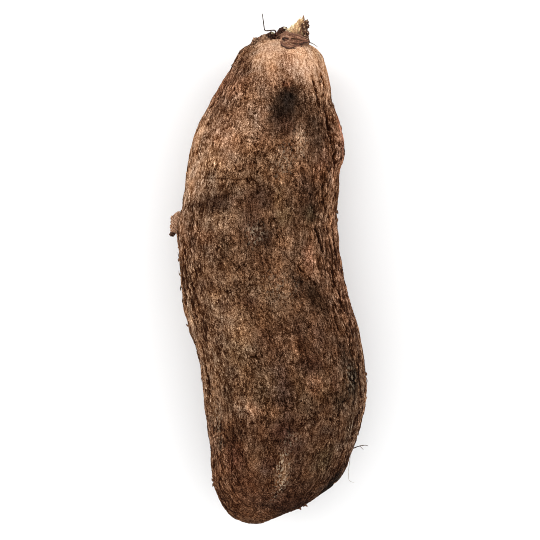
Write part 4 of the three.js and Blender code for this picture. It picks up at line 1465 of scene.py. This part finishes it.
def build_buds():
    """Two dark crown buds with pale beads, and the small lumps beside them."""
    shapes = Shapes()
    add_lumps(shapes, 0, node_box("tuber")[1][1], BUD_LEVEL, BUD_LUMPS)
    add_piece(shapes.piece("crown_buds"), crust_material(), "corky_skin")


def build_side_shoot(skin):
    """The stubby broken shoot on the left flank, blocky, with a dark end."""
    x, y = skin.seen_place(SHOOT_SHARE, -1.0)
    z = SHOOT_LEVEL
    shapes = Shapes()
    trunk = [
        (x + 2.4, y + 8.0, z),
        (x + 0.6, y + 4.6, z + 0.5),
        (x - 0.5, y, z + 0.5),
        (x - 1.6, y - 3.6, z),
    ]
    radii = [1.5, 3.0, 3.1, 2.3]
    shapes.tube(smooth_path(trunk, 6), radii, (150, 115, 91), (134, 100, 78), 20, 0.35, 31)
    add_lumps(shapes, x, y, z, SHOOT_LUMPS)
    add_piece(shapes.piece("side_shoot"), crust_material(), "corky_skin")


# ---------------------------------------------------------------- roots


def span_of(node):
    """Lowest and highest corner of a CAD node in mm, and z halfway between them."""
    low, high = node_box(node)
    return low, high, (low[2] + high[2]) / 2


def build_crown_root():
    """The thin wiry root that leaves the crown beside the buds and stands up from it."""
    _, high, level = span_of("crown_root")
    route = [
        (3.6, 137.4, level - 0.5),
        (3.2, 139.8, level + 0.8),
        (1.6, 140.4, level + 0.8),
        (-1.4, 140.2, level),
        (-3.0, 140.5, level - 0.2),
        (-3.5, 142.6, level - 0.2),
        (-4.0, 146.4, level),
        (-4.6, high[1] - 1.9, level + 0.2),
    ]
    radii = [0.46, 0.42, 0.38, 0.33, 0.30, 0.34, 0.2]
    shapes = Shapes()
    shapes.tube(smooth_path(route, 5), radii, (70, 52, 42), (52, 44, 40), 9, 0.35, 41)
    shapes.lump((3.6, 137.4, level), (0.8, 0.9, 0.8), (104, 66, 54), 42, 0.3)
    add_piece(shapes.piece("crown_wire_root"), root_material(), "dry_root", "crown_root")


def build_forked_rootlet():
    """A thin forked root low on the right flank."""
    low, high, level = span_of("tip_rootlet_1")
    route = [
        (low[0] - 2.5, -107.6, level),
        (low[0] + 0.6, -106.0, level),
        (53.7, -104.9, level + 0.3),
        (56.0, -104.6, level),
        (high[0] - 0.3, -104.9, level),
    ]
    shapes = Shapes()
    radii = [0.34, 0.3, 0.26, 0.1]
    shapes.tube(smooth_path(route, 5), radii, (74, 62, 54), (96, 84, 74), 7, 0.3, 43)
    fork = [(53.0, -105.0, level + 0.2), (54.4, -106.3, level), (55.3, -107.4, level)]
    shapes.tube(smooth_path(fork, 4), [0.2, 0.16, 0.08], (84, 70, 60), (110, 96, 84), 6, 0.3, 44)
    add_piece(shapes.piece("flank_rootlet_forked"), root_material(), "dry_root", "tip_rootlet_1")


def build_drooping_rootlet():
    """A hair root that droops below the forked one."""
    _, _, level = span_of("tip_rootlet_2")
    route = [
        (47.2, -109.5, level),
        (47.5, -111.6, level),
        (46.9, -116.5, level + 0.2),
        (46.5, -121.4, level),
        (46.7, -125.0, level),
        (48.2, -126.4, level),
        (50.0, -126.9, level),
    ]
    radii = [0.20, 0.16, 0.13, 0.11, 0.06]
    shapes = Shapes()
    shapes.tube(smooth_path(route, 5), radii, (138, 126, 114), (176, 168, 158), 7, 0.3, 45)
    add_piece(shapes.piece("flank_rootlet_drooping"), root_material(), "dry_root", "tip_rootlet_2")


# ---------------------------------------------------------------- slivers and chips of bark

SLIVERS = 150
SLIVER_FLOOR = 5  # mm above the floor where they begin
CHIP_LEVEL = 40

# Larger chips on the outline: share along, share across, length and reach outwards in mm
CHIPS = [
    (0.023, 0.97, 1.0, 0.9),
    (0.017, 0.95, 1.2, 0.7),
    (0.012, 0.80, 1.0, 0.9),
    (0.068, -0.98, 1.8, 0.6),
    (0.300, 0.995, 1.6, 0.5),
    (0.640, 0.995, 1.8, 0.5),
    (0.700, 0.995, 1.6, 0.4),
    (0.540, -0.995, 1.8, 0.3),
]


def build_slivers(skin):
    """Small slivers of bark that have lifted along the flanks, and the chips on the outline."""
    rng = np.random.default_rng(8)
    rows, columns = skin.base.shape[:2]
    shapes = Shapes()
    placed = 0
    while placed < SLIVERS:
        row, column = rng.integers(8, rows - 8), rng.integers(0, columns)
        if abs(skin.across[row, column]) < 0.80 and skin.upward[row, column] > -0.2:
            continue
        if skin.base[row, column, 2] < SLIVER_FLOOR:
            continue
        placed += 1
        place, normal = skin.base[row, column], skin.normals[row, column]
        run = skin.base[min(row + 6, rows - 1), column] - place
        run = run / np.linalg.norm(run) * rng.choice((-1, 1))
        length, lift = rng.uniform(1.4, 3.8), rng.uniform(0.0, 0.45)
        route = [
            place - 0.3 * normal,
            place + run * length * 0.5 + normal * 0.25,
            place + run * length + normal * (0.2 + lift),
        ]
        shade = rng.uniform(0.7, 1.15)
        width = rng.uniform(0.25, 0.5)
        tint, end_tint = np.array((92, 64, 47)) * shade, np.array((122, 92, 70)) * shade
        radii = [width, width * 0.9, width * 0.2]
        shapes.tube(smooth_path(route, 3), radii, tint, end_tint, 6, 0.4, placed, 0.5)
    for along, across, length, lift in CHIPS:
        x, y = skin.seen_place(along, across)
        out = math.copysign(1.0, across)
        route = [
            (x - 1.5 * out, y, CHIP_LEVEL),
            (x, y - 0.2 * length, CHIP_LEVEL),
            (x + out * lift, y - length, CHIP_LEVEL),
        ]
        radii = [1.0, 0.8, 0.25]
        shapes.tube(smooth_path(route, 3), radii, (70, 48, 36), (98, 70, 52), 7, 0.4, 61, 0.6)
    add_piece(shapes.piece("bark_slivers"), crust_material(), "corky_skin")


# ---------------------------------------------------------------- camera, floor and light

PHOTO_SPAN = 319.0  # mm of the yam's middle plane that the picture is wide
CAMERA_HEIGHT = 1600.0  # above that plane
PHOTO_DROP = 0.9  # mm that the picture's middle is below the part's
SENSOR = 36.0
FLOOR_HALF = 4000.0
FLOOR_GREY = 0.94
WORLD_STRENGTH = 1.2


def make_camera():
    """A camera straight above the yam, with the tuber's root tip at the bottom of the picture."""
    low, high = (np.array(corner) / MM for corner in cad_box)
    middle = (low + high) / 2
    data = bpy.data.cameras.new("camera")
    data.sensor_width = SENSOR
    data.lens = SENSOR * CAMERA_HEIGHT / PHOTO_SPAN
    camera = bpy.data.objects.new("camera", data)
    place = (middle[0] * MM, (middle[1] - PHOTO_DROP) * MM, (middle[2] + CAMERA_HEIGHT) * MM)
    camera.location = place
    camera.rotation_euler = (0, 0, 0)
    bpy.context.scene.collection.objects.link(camera)
    bpy.context.scene.camera = camera


def make_floor():
    """A broad pale floor under the yam."""
    corners = [(x * FLOOR_HALF, y * FLOOR_HALF, 0) for x, y in ((-1, -1), (1, -1), (1, 1), (-1, 1))]
    piece = mesh_object("floor", corners, [(0, 1, 2, 3)])
    nodes = Nodes("pale_floor")
    nodes.feed(nodes.shader.inputs["Base Color"], (FLOOR_GREY,) * 3)
    nodes.feed(nodes.shader.inputs["Roughness"], 0.9)
    nodes.feed(nodes.shader.inputs["Specular IOR Level"], 0.1)
    piece.data.materials.append(nodes.material)


def area_light(name, place, size, power):
    """A soft square light at a place in metres, facing the yam. Size is its side in metres, and
    power is in watts."""
    data = bpy.data.lights.new(name, "AREA")
    data.shape = "SQUARE"
    data.size = size
    data.energy = power
    light = bpy.data.objects.new(name, data)
    light.location = place
    light.rotation_euler = (-Vector(place)).to_track_quat("-Z", "Y").to_euler()
    light.visible_camera = False
    bpy.context.scene.collection.objects.link(light)


def make_light():
    """A pale even world and a soft box to each side of the yam."""
    world = bpy.data.worlds.new("studio")
    world.use_nodes = True
    background = world.node_tree.nodes["Background"]
    background.inputs["Color"].default_value = (1, 1, 1, 1)
    background.inputs["Strength"].default_value = WORLD_STRENGTH
    bpy.context.scene.world = world
    area_light("soft_left", (-2.6, 0.9, 1.8), 2.0, 34)
    area_light("soft_right", (2.6, 0.6, 1.8), 2.0, 26)


def make_view_settings():
    """Plain colours, and an image as sharp as the photo."""
    scene = bpy.context.scene
    scene.view_settings.view_transform = "Standard"
    scene.view_settings.look = "None"
    scene.cycles.filter_width = 1.0
    scene.cycles.denoising_prefilter = "NONE"


make_camera()
make_floor()
make_light()
make_view_settings()
skin = build_tuber()
build_stub_body()
build_stub_fibres()
build_stub_scales()
build_stub_foot(skin)
build_buds()
build_side_shoot(skin)
build_crown_root()
build_forked_rootlet()
build_drooping_rootlet()
build_slivers(skin)
